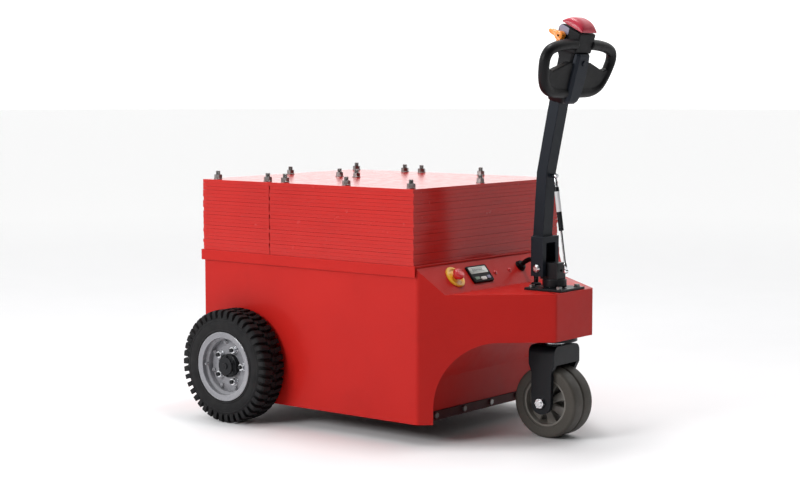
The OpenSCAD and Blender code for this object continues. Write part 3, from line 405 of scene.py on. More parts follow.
finishes = {
    "red_paint": paint("redPowderCoat", (0.47, 0.0125, 0.0088), (0.42, 0.010, 0.0072), 0.42, 0.10, 0.06,
                       worn=(0.60, 0.11, 0.085), wornBy=0.28, shine=0.12),
    "black_paint": paint("blackFramePaint", (0.0055, 0.006, 0.0078), (0.008, 0.009, 0.011), 0.40, 0.12, 0.06,
                         worn=(0.12, 0.12, 0.13), wornBy=0.40, shine=0.18),
    "slate_paint": paint("slateTillerPaint", (0.0085, 0.0115, 0.0165), (0.011, 0.0145, 0.021), 0.44, 0.10,
                         0.02, worn=(0.16, 0.18, 0.21), wornBy=0.40, shine=0.14),
    "rim_silver": paint("silverRimPaint", (0.27, 0.27, 0.29), (0.19, 0.19, 0.205), 0.27, 0.20, 0.45,
                        worn=(0.70, 0.70, 0.72), wornBy=0.7),
    "hub_grey": paint("greyHubPaint", (0.19, 0.175, 0.155), (0.15, 0.14, 0.125), 0.34, 0.2, 0.4,
                      worn=(0.42, 0.40, 0.37), wornBy=0.6),
    "zinc_steel": metal("zincPlatedSteel", (0.72, 0.73, 0.75), 0.26),
    "tyre_black": rubber("solidBlackRubber", (0.0065, 0.0063, 0.0072), (0.026, 0.024, 0.021), 0.74),
    "tyre_taupe": rubber("taupePolyurethane", (0.062, 0.056, 0.048), (0.085, 0.077, 0.066), 0.52, 0.18, 0.5),
    "black_plastic": plastic("blackMouldedPlastic", (0.005, 0.005, 0.0062), 0.46, 0.22, shine=0.14),
    "slate_plastic": plastic("slateMouldedPlastic", (0.0135, 0.017, 0.0245), 0.46, 0.2, shine=0.14),
    "grip_black": plastic("softGripPlastic", (0.0042, 0.0042, 0.0050), 0.42, 0.3, shine=0.16),
    "belly_red": plastic("bellyButtonRed", (0.40, 0.020, 0.042), 0.36, 0.05, 0.15, shine=0.3),
    "throttle_orange": plastic("throttleOrange", (0.84, 0.24, 0.014), 0.36, 0.06, 0.15),
    "button_grey": plastic("lavenderGreyPlastic", (0.20, 0.195, 0.29), 0.40, 0.14),
    "estop_yellow": plastic("collarYellow", (0.80, 0.42, 0.015), 0.32, 0.06, 0.4),
    "estop_red": plastic("mushroomRed", (0.58, 0.016, 0.022), 0.28, 0.06, 0.5),
    "display_lens": lens("displayWindow", (0.50, 0.54, 0.50), 0.16),
}
finishes["dullZinc"] = metal("dullZincFastener", (0.27, 0.265, 0.26), 0.36, stain=(0.10, 0.085, 0.07))
# a darkened copy of the red paint for the floor plate: painted shade standing in for the dark band under the
# bulkhead, not the plate's own colour
finishes["paintedShadeRed"] = paint("paintedShadeRed", (0.060, 0.0085, 0.0085), (0.045, 0.007, 0.007), 0.5, 0.15,
                                 0.04, worn=(0.2, 0.05, 0.045), wornBy=0.3, shine=0.15)
finishes["ballastRed"] = paint("ballastPlateRed", (0.49, 0.0135, 0.0095), (0.44, 0.011, 0.008), 0.22, 0.05,
                               0.22, coatRough=0.14, worn=(0.58, 0.10, 0.08), wornBy=0.25, shine=0.20)
finishes["chrome"] = metal("polishedRod", (0.80, 0.81, 0.83), 0.12, (1, 1, 0.08), 0.08)
finishes["segmentDark"] = lens("displaySegments", (0.035, 0.045, 0.045), 0.20)
finishes["keyGreen"] = plastic("displayKeyGreen", (0.11, 0.17, 0.12), 0.36, 0.1)
finishes["keyPale"] = plastic("displayKeyPale", (0.52, 0.52, 0.50), 0.34, 0.08)
finishes["blankLabel"] = plastic("blankPaleSleeve", (0.62, 0.62, 0.63), 0.38, 0.05)
finishes["weldMetal"] = paint("weldBeadPaint", (0.013, 0.014, 0.017), (0.018, 0.019, 0.022), 0.34, 0.3, 0.2)
print("finishes ready:", len(finishes))


# ---- CAD nodes that keep their shape ----

slotOf = {}
for part in frame["record"]["subparts"]:
    slotOf[part["node"]] = part["material_slot"]

edgeWidths = {   # metres of rounding on each kept node's edges
    "side_panel_left": 0.0016, "side_panel_right": 0.0016, "rear_panel": 0.0014,
    "front_bulkhead": 0.0016, "floor_plate": 0.0014, "nose_front_panel": 0.0012,
    "nose_top_plate": 0.0016, "console_panel": 0.0012, "ballast_tray": 0.0030,
    "rear_ballast_plates": 0.0011, "front_ballast_plates": 0.0011,
    "chassis_frame": 0.0030, "batteries": 0.004, "motor_controller": 0.003,
    "axle_housing": 0.002, "drive_motor": 0.002, "tow_hitch": 0.0022, "charging_inlet": 0.001,
    "lower_bearing_plate": 0.0015, "swivel_base_plate": 0.0014, "swivel_collar": 0.002,
    "pivot_block": 0.0028, "steering_fork": 0.0026, "tiller_bracket": 0.0030,
    "tiller_tube": 0.0060, "rear_hub_left": 0.0015, "rear_hub_right": 0.0015,
    "front_wheel_hub": 0.0018, "kingpin": 0.001, "front_axle": 0.001, "pivot_pin": 0.0012,
    "tow_pin": 0.001, "frame_bolts": 0.0006, "base_plate_bolts": 0.0008,
    "wheel_nuts_left": 0.0008, "wheel_nuts_right": 0.0008, "horn_button": 0.0012,
    "indicator_lamps": 0.0006, "battery_clamp": 0.0008, "kingpin_bearings": 0.001,
}
# the floor plate takes the darkened red copy, which is painted shade
ownFinish = {"rear_ballast_plates": "ballastRed", "front_ballast_plates": "ballastRed",
             "frame_bolts": "dullZinc", "base_plate_bolts": "dullZinc", "floor_plate": "paintedShadeRed",
             "horn_button": "slate_plastic"}
fineSteps = {"tiller_tube": 4, "ballast_tray": 3, "steering_fork": 3, "tiller_bracket": 3}


def keepNode(name):
    node = nodes[name]
    node.data.materials.clear()
    node.data.materials.append(finishes[ownFinish.get(name, slotOf[name])])
    weld = node.modifiers.new("weld", "WELD")
    weld.merge_threshold = 0.00002
    flat = node.modifiers.new("flat", "DECIMATE")
    flat.decimate_type = "DISSOLVE"
    flat.angle_limit = rad(0.6)
    softened(node, edgeWidths[name], fineSteps.get(name, 2))


for nodeName in edgeWidths:
    keepNode(nodeName)
print("kept nodes dressed:", len(edgeWidths))


# ---- places shared by several pieces, all read from the frame ----

def middle(node):
    low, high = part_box(node)
    return (low + high) / 2


axle = middle("rear_tyre_right")
steerAxis = middle("front_tyre")
originX = axle.x    # lengths in the part's source are counted from the rear axle


# ---- rear wheels ----

rearWheel = {
    "lugs": 42, "lugTop": 0.190, "carcass": 0.1785, "beadRadius": 0.1025,
    "lugShare": 0.56, "chevron": 0.045, "boltCircle": 0.0805, "rimBolts": 8,
    "nuts": 5, "nutFlats": 0.021, "nutHeight": 0.015, "nutCircle": 0.056,
}


sideName = {1: "left", -1: "right"}


def onAxle(side, part, y=0.0):
    return placed(part, shifted(axle.x, y, axle.z) @ towardsY(side))


def wheelPiece(name, side, part, finish, sharp=30, instead=None):
    word = sideName[side]
    return newPiece(name + word.title(), part, finish, "rear_wheel_" + word, sharp,
                    instead and instead + "_" + word)


def rearTyre(side):
    w = rearWheel
    low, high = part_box("rear_tyre_" + sideName[side])
    half = (high.y - low.y) / 2
    mid = (high.y + low.y) / 2
    r, bead = w["carcass"], w["beadRadius"]
    wall = [(bead, half - 0.0135), (bead + 0.004, half - 0.0105), (0.1165, half - 0.0085),
            (0.1185, half - 0.0035), (0.122, half - 0.0024), (0.126, half - 0.0040),
            (0.129, half - 0.0030), (0.150, half - 0.0018), (0.152, half - 0.0026), (0.1545, half - 0.0016),
            (0.1600, half - 0.0034), (0.1670, half - 0.0075), (0.1735, half - 0.0125),
            (0.1770, half - 0.0180), (r, half - 0.026)]
    outline = wall + [(r + 0.0006, 0.022), (r + 0.0006, 0.008), (r - 0.001, 0.006), (r - 0.001, -0.006),
                (r + 0.0006, -0.008), (r + 0.0006, -0.022)]
    outline += mirrored(wall)
    parts = [lathe(outline, 160)]
    pitch = 2 * math.pi / w["lugs"]
    for flip in (1, -1):
        # section across one lug: from the crown, over the shoulder and down the wall
        tops = [(w["lugTop"] - 0.0004, 0.0115), (w["lugTop"], 0.020), (w["lugTop"] - 0.0004, half - 0.014),
                (w["lugTop"] - 0.0016, half - 0.0070), (w["lugTop"] - 0.0062, half - 0.0020),
                (w["lugTop"] - 0.0150, half - 0.0003), (w["lugTop"] - 0.0270, half - 0.0020)]
        roots = [(r - 0.002, 0.0105), (r - 0.002, 0.020), (r - 0.003, half - 0.022),
                 (r - 0.006, half - 0.019), (r - 0.012, half - 0.016), (0.1620, half - 0.012),
                 (0.1570, half - 0.007)]
        for k in range(w["lugs"]):
            base = pitch * (k + (0.5 if flip < 0 else 0.0))
            points, faces = [], []
            for edge in range(4):
                # two outer edges are at the root width, the inner two a little narrower at the top
                share = (-0.5, -0.40, 0.40, 0.5)[edge] * w["lugShare"]
                line = roots if edge in (0, 3) else tops
                for radius, y in line:
                    grow = 1.0 + 0.25 * (y / half)
                    a = base + pitch * share * grow - w["chevron"] * (1 - y / half)
                    points.append(polar(radius, a, flip * y))
            n = len(tops)
            for edge in range(3):
                for i in range(n - 1):
                    faces.append((edge * n + i, edge * n + i + 1, (edge + 1) * n + i + 1, (edge + 1) * n + i))
            faces.append([edge * n for edge in range(4)][::-1])
            faces.append([edge * n + n - 1 for edge in range(4)])
            faces.append([3 * n + i for i in range(n)] + [i for i in reversed(range(n))])
            if flip < 0:
                faces = flipped(faces)
            parts.append((points, faces))
    # centre blocks, one between each pair of lugs, leaning the other way
    for k in range(w["lugs"]):
        base = pitch * (k + 0.32)
        points = []
        for radius, shrink in ((r - 0.002, 1.0), (w["lugTop"] - 0.0006, 0.86)):
            for y, turn in ((-0.0085, -0.30), (0.0085, -0.16), (0.0085, 0.40), (-0.0085, 0.26)):
                a = base + pitch * turn * shrink
                points.append(polar(radius, a, y * shrink))
        faces = [(0, 1, 5, 4), (1, 2, 6, 5), (2, 3, 7, 6), (3, 0, 4, 7), (4, 5, 6, 7), (3, 2, 1, 0)]
        parts.append((points, faces))
    wheelPiece("rearTyre", side, onAxle(side, joined(parts), mid), "tyre_black", 28, "rear_tyre")


def rearRim(side):
    w = rearWheel
    inner, outer = sorted(abs(corner.y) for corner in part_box("rear_tyre_" + sideName[side]))
    disc = inner + 0.053
    band = [
        (0.0975, outer - 0.0045), (0.1035, outer - 0.0040), (0.1085, outer - 0.0030),
        (0.1135, outer - 0.0021), (0.1158, outer - 0.0031), (0.1160, outer - 0.0048),
        (0.1125, outer - 0.0062), (0.1060, outer - 0.0085),
        (0.1045, outer - 0.012), (0.1048, inner + 0.012), (0.1060, inner + 0.0085), (0.1125, inner + 0.0062),
        (0.1160, inner + 0.0048), (0.1155, inner + 0.0028), (0.1080, inner + 0.0026), (0.0985, inner + 0.004),
        (0.0980, disc - 0.012), (0.0950, disc - 0.006), (0.0890, disc - 0.0006), (0.0882, disc + 0.006),
        (0.0884, outer - 0.0265), (0.0905, outer - 0.0240), (0.0950, outer - 0.0228), (0.0972, outer - 0.0205),
        (0.0976, outer - 0.0130), (0.0968, outer - 0.0085),
    ]
    parts = [lathe(band, 144)]
    plate = [(0.0376, disc), (0.0884, disc), (0.0884, disc + 0.0070), (0.0850, disc + 0.0078),
             (0.0710, disc + 0.0080), (0.0690, disc + 0.0086), (0.0665, disc + 0.0086),
             (0.0645, disc + 0.0078),
             (0.0376, disc + 0.0079)]
    parts.append(lathe(plate, 144))
    for a in around(w["rimBolts"], 0.35):
        turned = shifted(*polar(w["boltCircle"], a, disc + 0.0076)) @ Matrix.Rotation(a, 4, "Z")
        parts.append(placed(washer(0.0085, 0.003, 0.0012, 32), turned))
        parts.append(placed(hexHead(0.0125, 0.0062), turned @ shifted(0, 0, 0.0012)))
        parts.append(placed(thread(0.0036, 0.0011, 0.0035, 12), turned @ shifted(0, 0, 0.0068)))
    valve = shifted(-0.0905, 0.0, outer - 0.0245) @ Matrix.Rotation(rad(12), 4, "Y")
    parts.append(placed(lathe([(0.0042, 0), (0.0042, 0.006), (0.0034, 0.0065), (0.0034, 0.015),
                               (0.0028, 0.016)], 20, closed=False), valve))
    wheelPiece("rearRim", side, onAxle(side, joined(parts)), "rim_silver", instead="rear_rim")
    return disc, outer


def rearNuts(side, disc):
    w = rearWheel
    parts = []
    for a in around(w["nuts"]):   # the studs' own angles in the CAD
        place = shifted(*polar(w["nutCircle"], a, disc + 0.008))
        parts.append(placed(washer(0.0135, 0.0072, 0.002, 40), place))
        cone = [(0.0072, 0.002), (0.0118, 0.002), (0.0108, 0.0045), (0.0072, 0.0045)]
        parts.append(placed(lathe(cone, 40), place))
        nut = hexHead(w["nutFlats"], w["nutHeight"] - 0.004, 0.0071)
        parts.append(placed(nut, place @ shifted(0, 0, 0.0045)))
        parts.append(placed(thread(0.0070, 0.0015, 0.0065, 16), place @ shifted(0, 0, 0.0146)))
    wheelPiece("wheelNuts", side, onAxle(side, joined(parts)), "zinc_steel", instead="wheel_nuts")


def hubDetails(side, outer):
    # the grease cap, its six small screws and the ring round the boss
    parts = [lathe([(0.0330, outer - 0.0212), (0.0366, outer - 0.0205), (0.0370, outer - 0.0235),
                    (0.0395, outer - 0.0250), (0.0398, outer - 0.0330), (0.0372, outer - 0.0345)], 72)]
    for a in around(6, 0.5):
        parts.append(placed(hexHead(0.0068, 0.0042), shifted(*polar(0.0325, a, outer - 0.0201))))
    centre = [(0.001, 0), (0.010, 0), (0.0105, -0.001), (0.0105, -0.004), (0.001, -0.004)]
    parts.append(placed(lathe(centre, 32), shifted(0, 0, outer - 0.0085)))
    wheelPiece("hubCap", side, onAxle(side, joined(parts)), "black_paint")


for side in (1, -1):
    rearTyre(side)
    discAt, outerAt = rearRim(side)
    rearNuts(side, discAt)
    hubDetails(side, outerAt)
print("rear wheels built")


# ---- front wheel ----

frontWheel = {"treadGroove": 0.0050, "grooveHalf": 0.0036, "shoulder": 0.0095, "windows": 7,
              "spokeInner": 0.0100, "spokeOuter": 0.0195, "spokeFace": 0.034}


def frontTyre():
    w = frontWheel
    low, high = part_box("front_tyre")
    half, r = (high.y - low.y) / 2, (high.z - low.z) / 2
    g, s = w["grooveHalf"], w["shoulder"]
    side = [(r - 0.0382, half - 0.0075), (r - 0.0376, half - 0.0042), (r - 0.0340, half - 0.0034),
            (r - 0.0330, half - 0.0012), (r - 0.0300, half - 0.0006), (r - 0.0100, half - 0.0002)]
    shoulder = [(r - 0.0005 - s * (1 - math.cos(rad(a))), half - s + s * math.sin(rad(a)))
                for a in (80, 65, 50, 35, 20, 8)]
    deep = r - w["treadGroove"]
    crown = [(r - 0.0001, half - s - 0.006), (r, half * 0.45), (r - 0.0002, g + 0.006),
             (r - 0.0010, g + 0.0022), (r - 0.0032, g + 0.0005), (deep, g - 0.0006),
             (deep - 0.0006, g - 0.002)]
    outline = side + shoulder + crown
    outline += mirrored(outline)
    part = placed(lathe(outline, 192), shifted(*steerAxis) @ towardsY(1))
    newPiece("frontTyre", part, "tyre_taupe", "front_wheel", sharp=34, instead="front_tyre")


def frontHub():
    # a cast centre: a boss, broad spokes that leave small windows, and a lipped band under the tyre
    low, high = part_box("front_tyre")
    half, r = (high.y - low.y) / 2, (high.z - low.z) / 2
    seat = r - 0.0381
    w = half - 0.005
    boss = [(0.0275, 0.016), (0.0262, 0.020), (0.0235, w - 0.002), (0.020, w), (0.0101, w)]
    band = [(seat - 0.0095, 0.014), (seat - 0.0068, 0.030), (seat - 0.0056, w - 0.0014),
            (seat - 0.0042, w), (seat, w)]
    parts = [lathe(mirrored(boss) + boss, 96),
             lathe(mirrored(band) + [(seat - 0.0098, 0)] + band, 144)]
    fw = frontWheel
    for k in range(fw["windows"]):
        rings = []
        for share in (0.0, 0.2, 0.4, 0.6, 0.8, 1.0):
            x = 0.0245 + (seat - 0.0065 - 0.0245) * share
            wide = fw["spokeInner"] + (fw["spokeOuter"] - fw["spokeInner"]) * share ** 1.3
            thick = fw["spokeFace"] + 0.006 * math.cos(math.pi * share)
            outline = roundedCorners(oblong(wide, thick), 0.0045, 4)
            rings.append([(x, a, b) for a, b in outline])
        turn = -2 * math.pi * (k + 0.45) / fw["windows"]
        parts.append(placed(lofted(rings), Matrix.Rotation(turn, 4, "Z")))
    for low, high in ((w - 0.0005, w + 0.0012), (-w - 0.0012, -w + 0.0005)):
        parts.append(lathe([(0.0101, low), (0.0165, low), (0.0165, high), (0.0101, high)], 64))
    part = placed(joined(parts), shifted(*steerAxis) @ towardsY(1))
    newPiece("frontHub", part, "hub_grey", "front_wheel", sharp=34, instead="front_wheel_hub")


frontTyre()
frontHub()
print("front wheel built")


# ---- ballast fastenings ----

ballast = {"studRadius": 0.008, "pitch": 0.002, "nutHeight": 0.0128,
           "nutFlats": 0.024, "washer": 0.003}


def studPlaces():
    b = ballast
    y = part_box("ballast_studs")[1].y - b["studRadius"]
    xs = [round(v, 5) for v in (originX - 0.148, originX + 0.082, originX + 0.159, originX + 0.688)]
    spots = [(x, side * y) for x in xs for side in (-1, 0, 1)]
    spots += [(originX + 0.4235, side * y) for side in (-1, 1)]
    return spots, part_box("rear_ballast_plates")[1].z


def ballastFastenings():
    b = ballast
    spots, top = studPlaces()
    studLow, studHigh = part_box("ballast_studs")
    rods, nuts = [], []
    for index, (x, y) in enumerate(spots):
        turn = Matrix.Rotation(0.7 * index, 4, "Z")
        place = shifted(x, y, top) @ turn
        plain = [(b["studRadius"] * 0.93, studLow.z - top), (b["studRadius"] * 0.93, 0.002)]
        rods.append(placed(lathe(plain, 24, closed=False), place))
        rods.append(placed(thread(b["studRadius"], b["pitch"], studHigh.z - top - 0.0005), place))
        ring = washer(0.0145, b["studRadius"] + 0.0004, b["washer"] - 0.0004, 40)
        nuts.append(placed(ring, place @ shifted(0, 0, 0.0003)))
        nut = hexHead(b["nutFlats"], b["nutHeight"], b["studRadius"])
        nuts.append(placed(nut, place @ shifted(0, 0, b["washer"])))
    newPiece("ballastStuds", joined(rods), "dullZinc", "chassis", instead="ballast_studs")
    newPiece("ballastNuts", joined(nuts), "dullZinc", "chassis", instead="ballast_nuts")


ballastFastenings()
print("ballast fastenings built")


# ---- console: emergency stop, display, glands and hose ----

console = {
    "topX": 0.730, "topZ": 0.560, "slope": 50.5276,   # the sloping panel's top edge and its fall in degrees
    "stopAt": (0.052, -0.240), "displayAt": (0.054, -0.111), "glandAt": (0.046, 0.130),
    "noseGlandAt": (0.890, 0.032), "glandHeight": 0.014, "hoseRadius": 0.008,
    "hosePull": 0.062, "hoseDrop": 0.058, "ribs": 46,
}


def onConsole(place, lift=0.0):
    # local X runs down the slope, Y to the left and Z out of the panel
    c = console
    slope = rad(c["slope"])
    x = originX + c["topX"] + place[0] * math.cos(slope)
    z = c["topZ"] - place[0] * math.sin(slope)
    return shifted(x, place[1], z) @ Matrix.Rotation(slope, 4, "Y") @ shifted(0, 0, lift)


def emergencyStop():
    base = onConsole(console["stopAt"])
    ring = [(0.0115, 0.0), (0.0380, 0.0), (0.0380, 0.0028), (0.0368, 0.0042), (0.0335, 0.0049),
            (0.0290, 0.0050), (0.0272, 0.0042), (0.0262, 0.0022), (0.0240, 0.0018), (0.0160, 0.0018),
            (0.0150, 0.0030), (0.0115, 0.0030)]
    newPiece("stopCollar", placed(lathe(ring, 96), base), "estop_yellow", "chassis", instead="estop_collar")
    cap = [(0.0109, -0.0199), (0.0109, 0.0085), (0.0125, 0.0100), (0.0165, 0.0116), (0.0188, 0.0132),
           (0.0199, 0.0160), (0.0200, 0.0190), (0.0196, 0.0222), (0.0180, 0.0250), (0.0150, 0.0270),
           (0.0100, 0.0278), (0.0092, 0.0272), (0.0070, 0.0270), (0.0040, 0.0274), (0.0012, 0.0277)]
    parts = [lathe(cap, 96, closed=False)]
    # three raised arcs on the cap's shoulder
    for start in (20, 140, 260):
        path = [polar(0.0158, rad(start + t), 0.02655 - 0.0002 * abs(t - 30) / 30) for t in range(0, 62, 6)]
        radii = [0.0004 + 0.0006 * min(1, k / 4) for k in range(len(path))]
        parts.append(tube(path, radii, 10))
    newPiece("stopMushroom", placed(joined(parts), base), "estop_red", "estop_button", sharp=34,
             instead="estop_mushroom")


displayKeys = {   # centre and half size on the panel, across the slope and down it, with a finish
    "menuKey": (-0.030, 0.0170, 0.0120, 0.0055, "keyGreen"),
    "enterKey": (0.004, 0.0195, 0.0150, 0.0062, "keyPale"),
    "stepKey": (0.033, 0.0170, 0.0085, 0.0060, "button_grey"),
}


def batteryDisplay():
    low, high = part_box("display_bezel")
    base = onConsole(console["displayAt"])
    l, w = 0.0315, (high.y - low.y) / 2
    shell = roundedCorners(oblong(l, w), 0.006, 6)
    rings = []
    for inset, height in ((0.0, 0.0), (0.0, 0.0045), (0.0006, 0.0060), (0.0018, 0.0068), (0.0034, 0.0070),
                          (0.0042, 0.0062), (0.0048, 0.0056)):
        k = (l - inset) / l
        m = (w - inset) / w
        rings.append([(x * k, y * m, height) for x, y in shell])
    newPiece("displayBezel", placed(lofted(rings), base), "black_plastic", "chassis", instead="display_bezel")
    window = roundedCorners([(-l + 0.0052, -w + 0.007), (-0.0010, -w + 0.007), (-0.0010, w - 0.007),
                             (-l + 0.0052, w - 0.007)], 0.0022, 4)
    glass = lofted([[(x, y, 0.0050) for x, y in window], [(x, y, 0.0061) for x, y in window],
                    [(x * 0.97 - 0.0004, y * 0.985, 0.0065) for x, y in window]])
    newPiece("displayWindow", placed(glass, base), "display_lens", "chassis", instead="display_glass")
    bars, raised = [], (0.0064, 0.00668)
    for k in range(8):
        y = -0.031 + k * 0.0068
        bar = [(-0.0175, y), (-0.0105, y), (-0.0105, y + 0.0048), (-0.0175, y + 0.0048)]
        bars.append(extruded(bar, *raised))
    for x in (-0.0210, -0.0085):   # the two lines above and below the bars
        bars.append(extruded([(x, -0.034), (x + 0.0010, -0.034), (x + 0.0010, 0.030), (x, 0.030)], *raised))
    newPiece("displayBars", placed(joined(bars), base), "segmentDark", "chassis")
    for name, (y, x, halfY, halfX, finish) in displayKeys.items():
        key = roundedCorners([(x - halfX, y - halfY), (x + halfX, y - halfY), (x + halfX, y + halfY),
                              (x - halfX, y + halfY)], halfX * (0.95 if name == "enterKey" else 0.35), 6)
        middleX = sum(p[0] for p in key) / len(key)
        middleY = sum(p[1] for p in key) / len(key)
        stack = [(1.0, 0.0052), (1.0, 0.0072), (0.95, 0.0079), (0.84, 0.0082)]
        rings = [[(middleX + (a - middleX) * k, middleY + (b - middleY) * k, h) for a, b in key]
                 for k, h in stack]
        newPiece(name, placed(lofted(rings), base), finish, "chassis")


def noseGland():
    x, y = console["noseGlandAt"]
    return Vector((originX + x, y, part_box("nose_top_plate")[1].z))


def cableGlands():
    parts = []
    for base in (onConsole(console["glandAt"]), shifted(*noseGland())):
        parts.append(placed(lathe([(0.0062, 0.0), (0.0200, 0.0), (0.0200, 0.0012), (0.0192, 0.0020),
                                   (0.0062, 0.0020)], 64), base))
        parts.append(placed(hexHead(0.0330, 0.0052, 0.0063), base @ shifted(0, 0, 0.0018)))
        dome = [(0.0062, 0.0065), (0.0156, 0.0065), (0.0158, 0.0095), (0.0150, 0.0118), (0.0128, 0.0134),
                (0.0100, 0.0139), (0.0062, 0.0139)]
        parts.append(placed(lathe(dome, 64), base))
        for a in around(12):
            rib = extruded([(0.0150, -0.0011), (0.0166, -0.0007), (0.0166, 0.0007), (0.0150, 0.0011)],
                           0.0070, 0.0108)
            parts.append(placed(placed(rib, Matrix.Rotation(a, 4, "Z")), base))
    newPiece("cableGlands", joined(parts), "black_plastic", "chassis", instead="cable_glands")


def wiringHose():
    c = console
    start = onConsole(c["glandAt"], c["glandHeight"])
    out = (start.to_3x3() @ Vector((0, 0, 1))).normalized()
    a = start.translation
    d = noseGland() + Vector((0, 0, c["glandHeight"]))
    b, e = a + c["hosePull"] * out, d + Vector((0, 0, c["hoseDrop"]))
    path, radii = [], []
    steps = c["ribs"] * 4
    for k in range(steps + 1):
        t = k / steps
        s = 1 - t
        path.append(s * s * s * a + 3 * s * s * t * b + 3 * s * t * t * e + t * t * t * d)
        radii.append(c["hoseRadius"] - (0.0000, 0.0004, 0.0011, 0.0004)[k % 4])
    newPiece("wiringHose", tube(path, radii, 28), "grip_black", "chassis", sharp=60, instead="wiring_hose")


emergencyStop()
batteryDisplay()
cableGlands()
wiringHose()
print("console built")


# ---- gas spring ----

gasSpring = {"low": (1.025, 0.537), "high": (0.980576, 0.838616), "rodLength": 0.155,
             "cylinderLow": 0.129, "cylinderEnd": 0.035, "radius": 0.008, "rodRadius": 0.0035,
             "labelFrom": 0.19, "labelTo": 0.255, "socketRadius": 0.0080}


def gasFrame():
    g = gasSpring
    low = Vector((originX + g["low"][0], 0, g["low"][1]))
    run = Vector((g["high"][0] - g["low"][0], 0, g["high"][1] - g["low"][1]))
    lean = math.atan2(run.x, run.z)
    return shifted(*low) @ Matrix.Rotation(lean, 4, "Y"), run.length, lean


def ballSocket():
    # the round socket of a ball joint, along +Z
    r = gasSpring["socketRadius"]
    return lathe([(0.0016, -r * 0.9), (0.0056, -r * 0.86), (r * 0.93, -r * 0.55), (r, 0),
                  (r * 0.93, r * 0.55), (0.0058, r * 0.88), (0.0016, r * 0.9)], 48, closed=False)


def buildGasSpring():
    g = gasSpring
    base, length, lean = gasFrame()
    rod = [(g["rodRadius"], 0.012), (g["rodRadius"], g["rodLength"])]
    parts = [lathe(rod, 40, closed=False)]
    neck = [(0.0030, 0.0060), (0.0050, 0.0062), (0.0055, 0.0075), (0.0055, 0.0235),
            (0.0048, 0.0255), (0.0035, 0.0260)]
    parts.append(lathe(neck, 48, closed=False))
    parts.append(placed(hexHead(0.0098, 0.0045), shifted(0, 0, 0.0120)))
    parts.append(placed(ballSocket(), towardsY(1)))
    clip = [(0.0084 * math.cos(rad(t)), -0.0015, 0.0084 * math.sin(rad(t))) for t in range(-60, 241, 12)]
    parts.append(tube([Vector(p) * 0.94 for p in clip], 0.0005, 8))
    newPiece("gasSpringRod", placed(joined(parts), base), "chrome", "gas_rod", 34,
             "gas_spring_rod")
    top = length - g["cylinderEnd"]
    low, r = g["cylinderLow"], g["radius"]
    shell = [(0.0036, low), (0.0066, low), (0.0076, low + 0.0012), (r, low + 0.003), (r, low + 0.0110),
             (0.00765, low + 0.0120), (r, low + 0.0130), (r, top - 0.0022), (0.0072, top - 0.0006),
             (0.0055, top)]
    newPiece("gasSpringCylinder", placed(lathe(shell, 64, closed=False), base), "black_paint", "gas_cylinder",
             sharp=34, instead="gas_spring_cylinder")
    sleeve = [(0.00795, g["labelFrom"]), (0.00812, g["labelFrom"] + 0.0002), (0.00812, g["labelTo"] - 0.0002),
              (0.00795, g["labelTo"])]
    newPiece("gasSpringSleeve", placed(lathe(sleeve, 64), base), "blankLabel", "gas_cylinder",
             34)
    neck = [(0.0030, top - 0.001), (0.0052, top - 0.001), (0.0055, top + 0.001), (0.0055, length - 0.0085),
            (0.0048, length - 0.0070), (0.003, length - 0.0068)]
    parts = [lathe(neck, 48, closed=False),
             placed(hexHead(0.0098, 0.0045), shifted(0, 0, top + 0.004)),
             placed(placed(ballSocket(), Matrix.Rotation(math.pi / 2, 4, "Y")),
                    shifted(0.0028, 0, length) @ Matrix.Rotation(-lean, 4, "Y"))]
    newPiece("gasSpringUpperSocket", placed(joined(parts), base), "zinc_steel", "gas_cylinder", sharp=34)


buildGasSpring()
print("gas spring built")


# ---- tiller head, made in the head's own leaning frame ----

head = {"origin": (0.993431, 1.076), "lean": 16.0, "gripX": 0.033, "gripRadius": 0.017,
        "casingVoxel": 0.0020, "gripVoxel": 0.0022}


def headPlace():
    x, z = head["origin"]
    return shifted(originX + x, 0, z) @ Matrix.Rotation(rad(head["lean"]), 4, "Y")


def fused(name, parts, finish, voxel, smoothing, instead):
    # overlapping solids become one moulded skin
    piece = newPiece(name, placed(joined(parts), headPlace()), finish, "tiller", sharp=32, instead=instead)
    remesh = piece.modifiers.new("skin", "REMESH")
    remesh.mode = "VOXEL"
    remesh.voxel_size = voxel
    remesh.use_smooth_shade = True
    calm = piece.modifiers.new("calm", "SMOOTH")
    calm.factor = 0.5
    calm.iterations = smoothing
    return piece


gripLine = [   # the loop's middle line, sideways and up in millimetres, from casing foot to casing top
    (0, 38), (60, 38), (112, 41), (150, 56), (172, 84), (185, 118), (190, 146), (180, 170), (152, 183),
    (112, 190), (76, 193), (40, 194),
]
webOutline = [(40, 30), (40, 137), (62, 137), (147, 110), (174, 120), (172, 86), (146, 54), (104, 34)]


def smoothLine(points, steps=6):
    path = []
    for i in range(len(points) - 1):
        p0, p1, p2, p3 = (Vector(points[min(max(k, 0), len(points) - 1)]) for k in (i - 1, i, i + 1, i + 2))
        for k in range(steps):
            t = k / steps
            path.append(0.5 * (2 * p1 + (p2 - p0) * t + (2 * p0 - 5 * p1 + 4 * p2 - p3) * t * t
                               + (3 * p1 - p0 - 3 * p2 + p3) * t ** 3))
    path.append(Vector(points[-1]))
    return path


def gripLoops():
    h = head
    x = h["gripX"]
    line = smoothLine([(y / 1000, z / 1000) for y, z in gripLine])
    parts = []
    for side in (1, -1):
        parts.append(tube([(x, side * p.x, p.y) for p in line], h["gripRadius"] + 0.0003, 28))
        web = roundedCorners([(side * y / 1000, z / 1000) for y, z in webOutline], 0.010, 4)
        slab = extruded(web, x - 0.0105, x + 0.0105)
        parts.append(([(p[2], p[0], p[1]) for p in slab[0]], slab[1] if side > 0 else flipped(slab[1])))
    fused("gripLoops", parts, "grip_black", h["gripVoxel"], 8, "grip_loops")


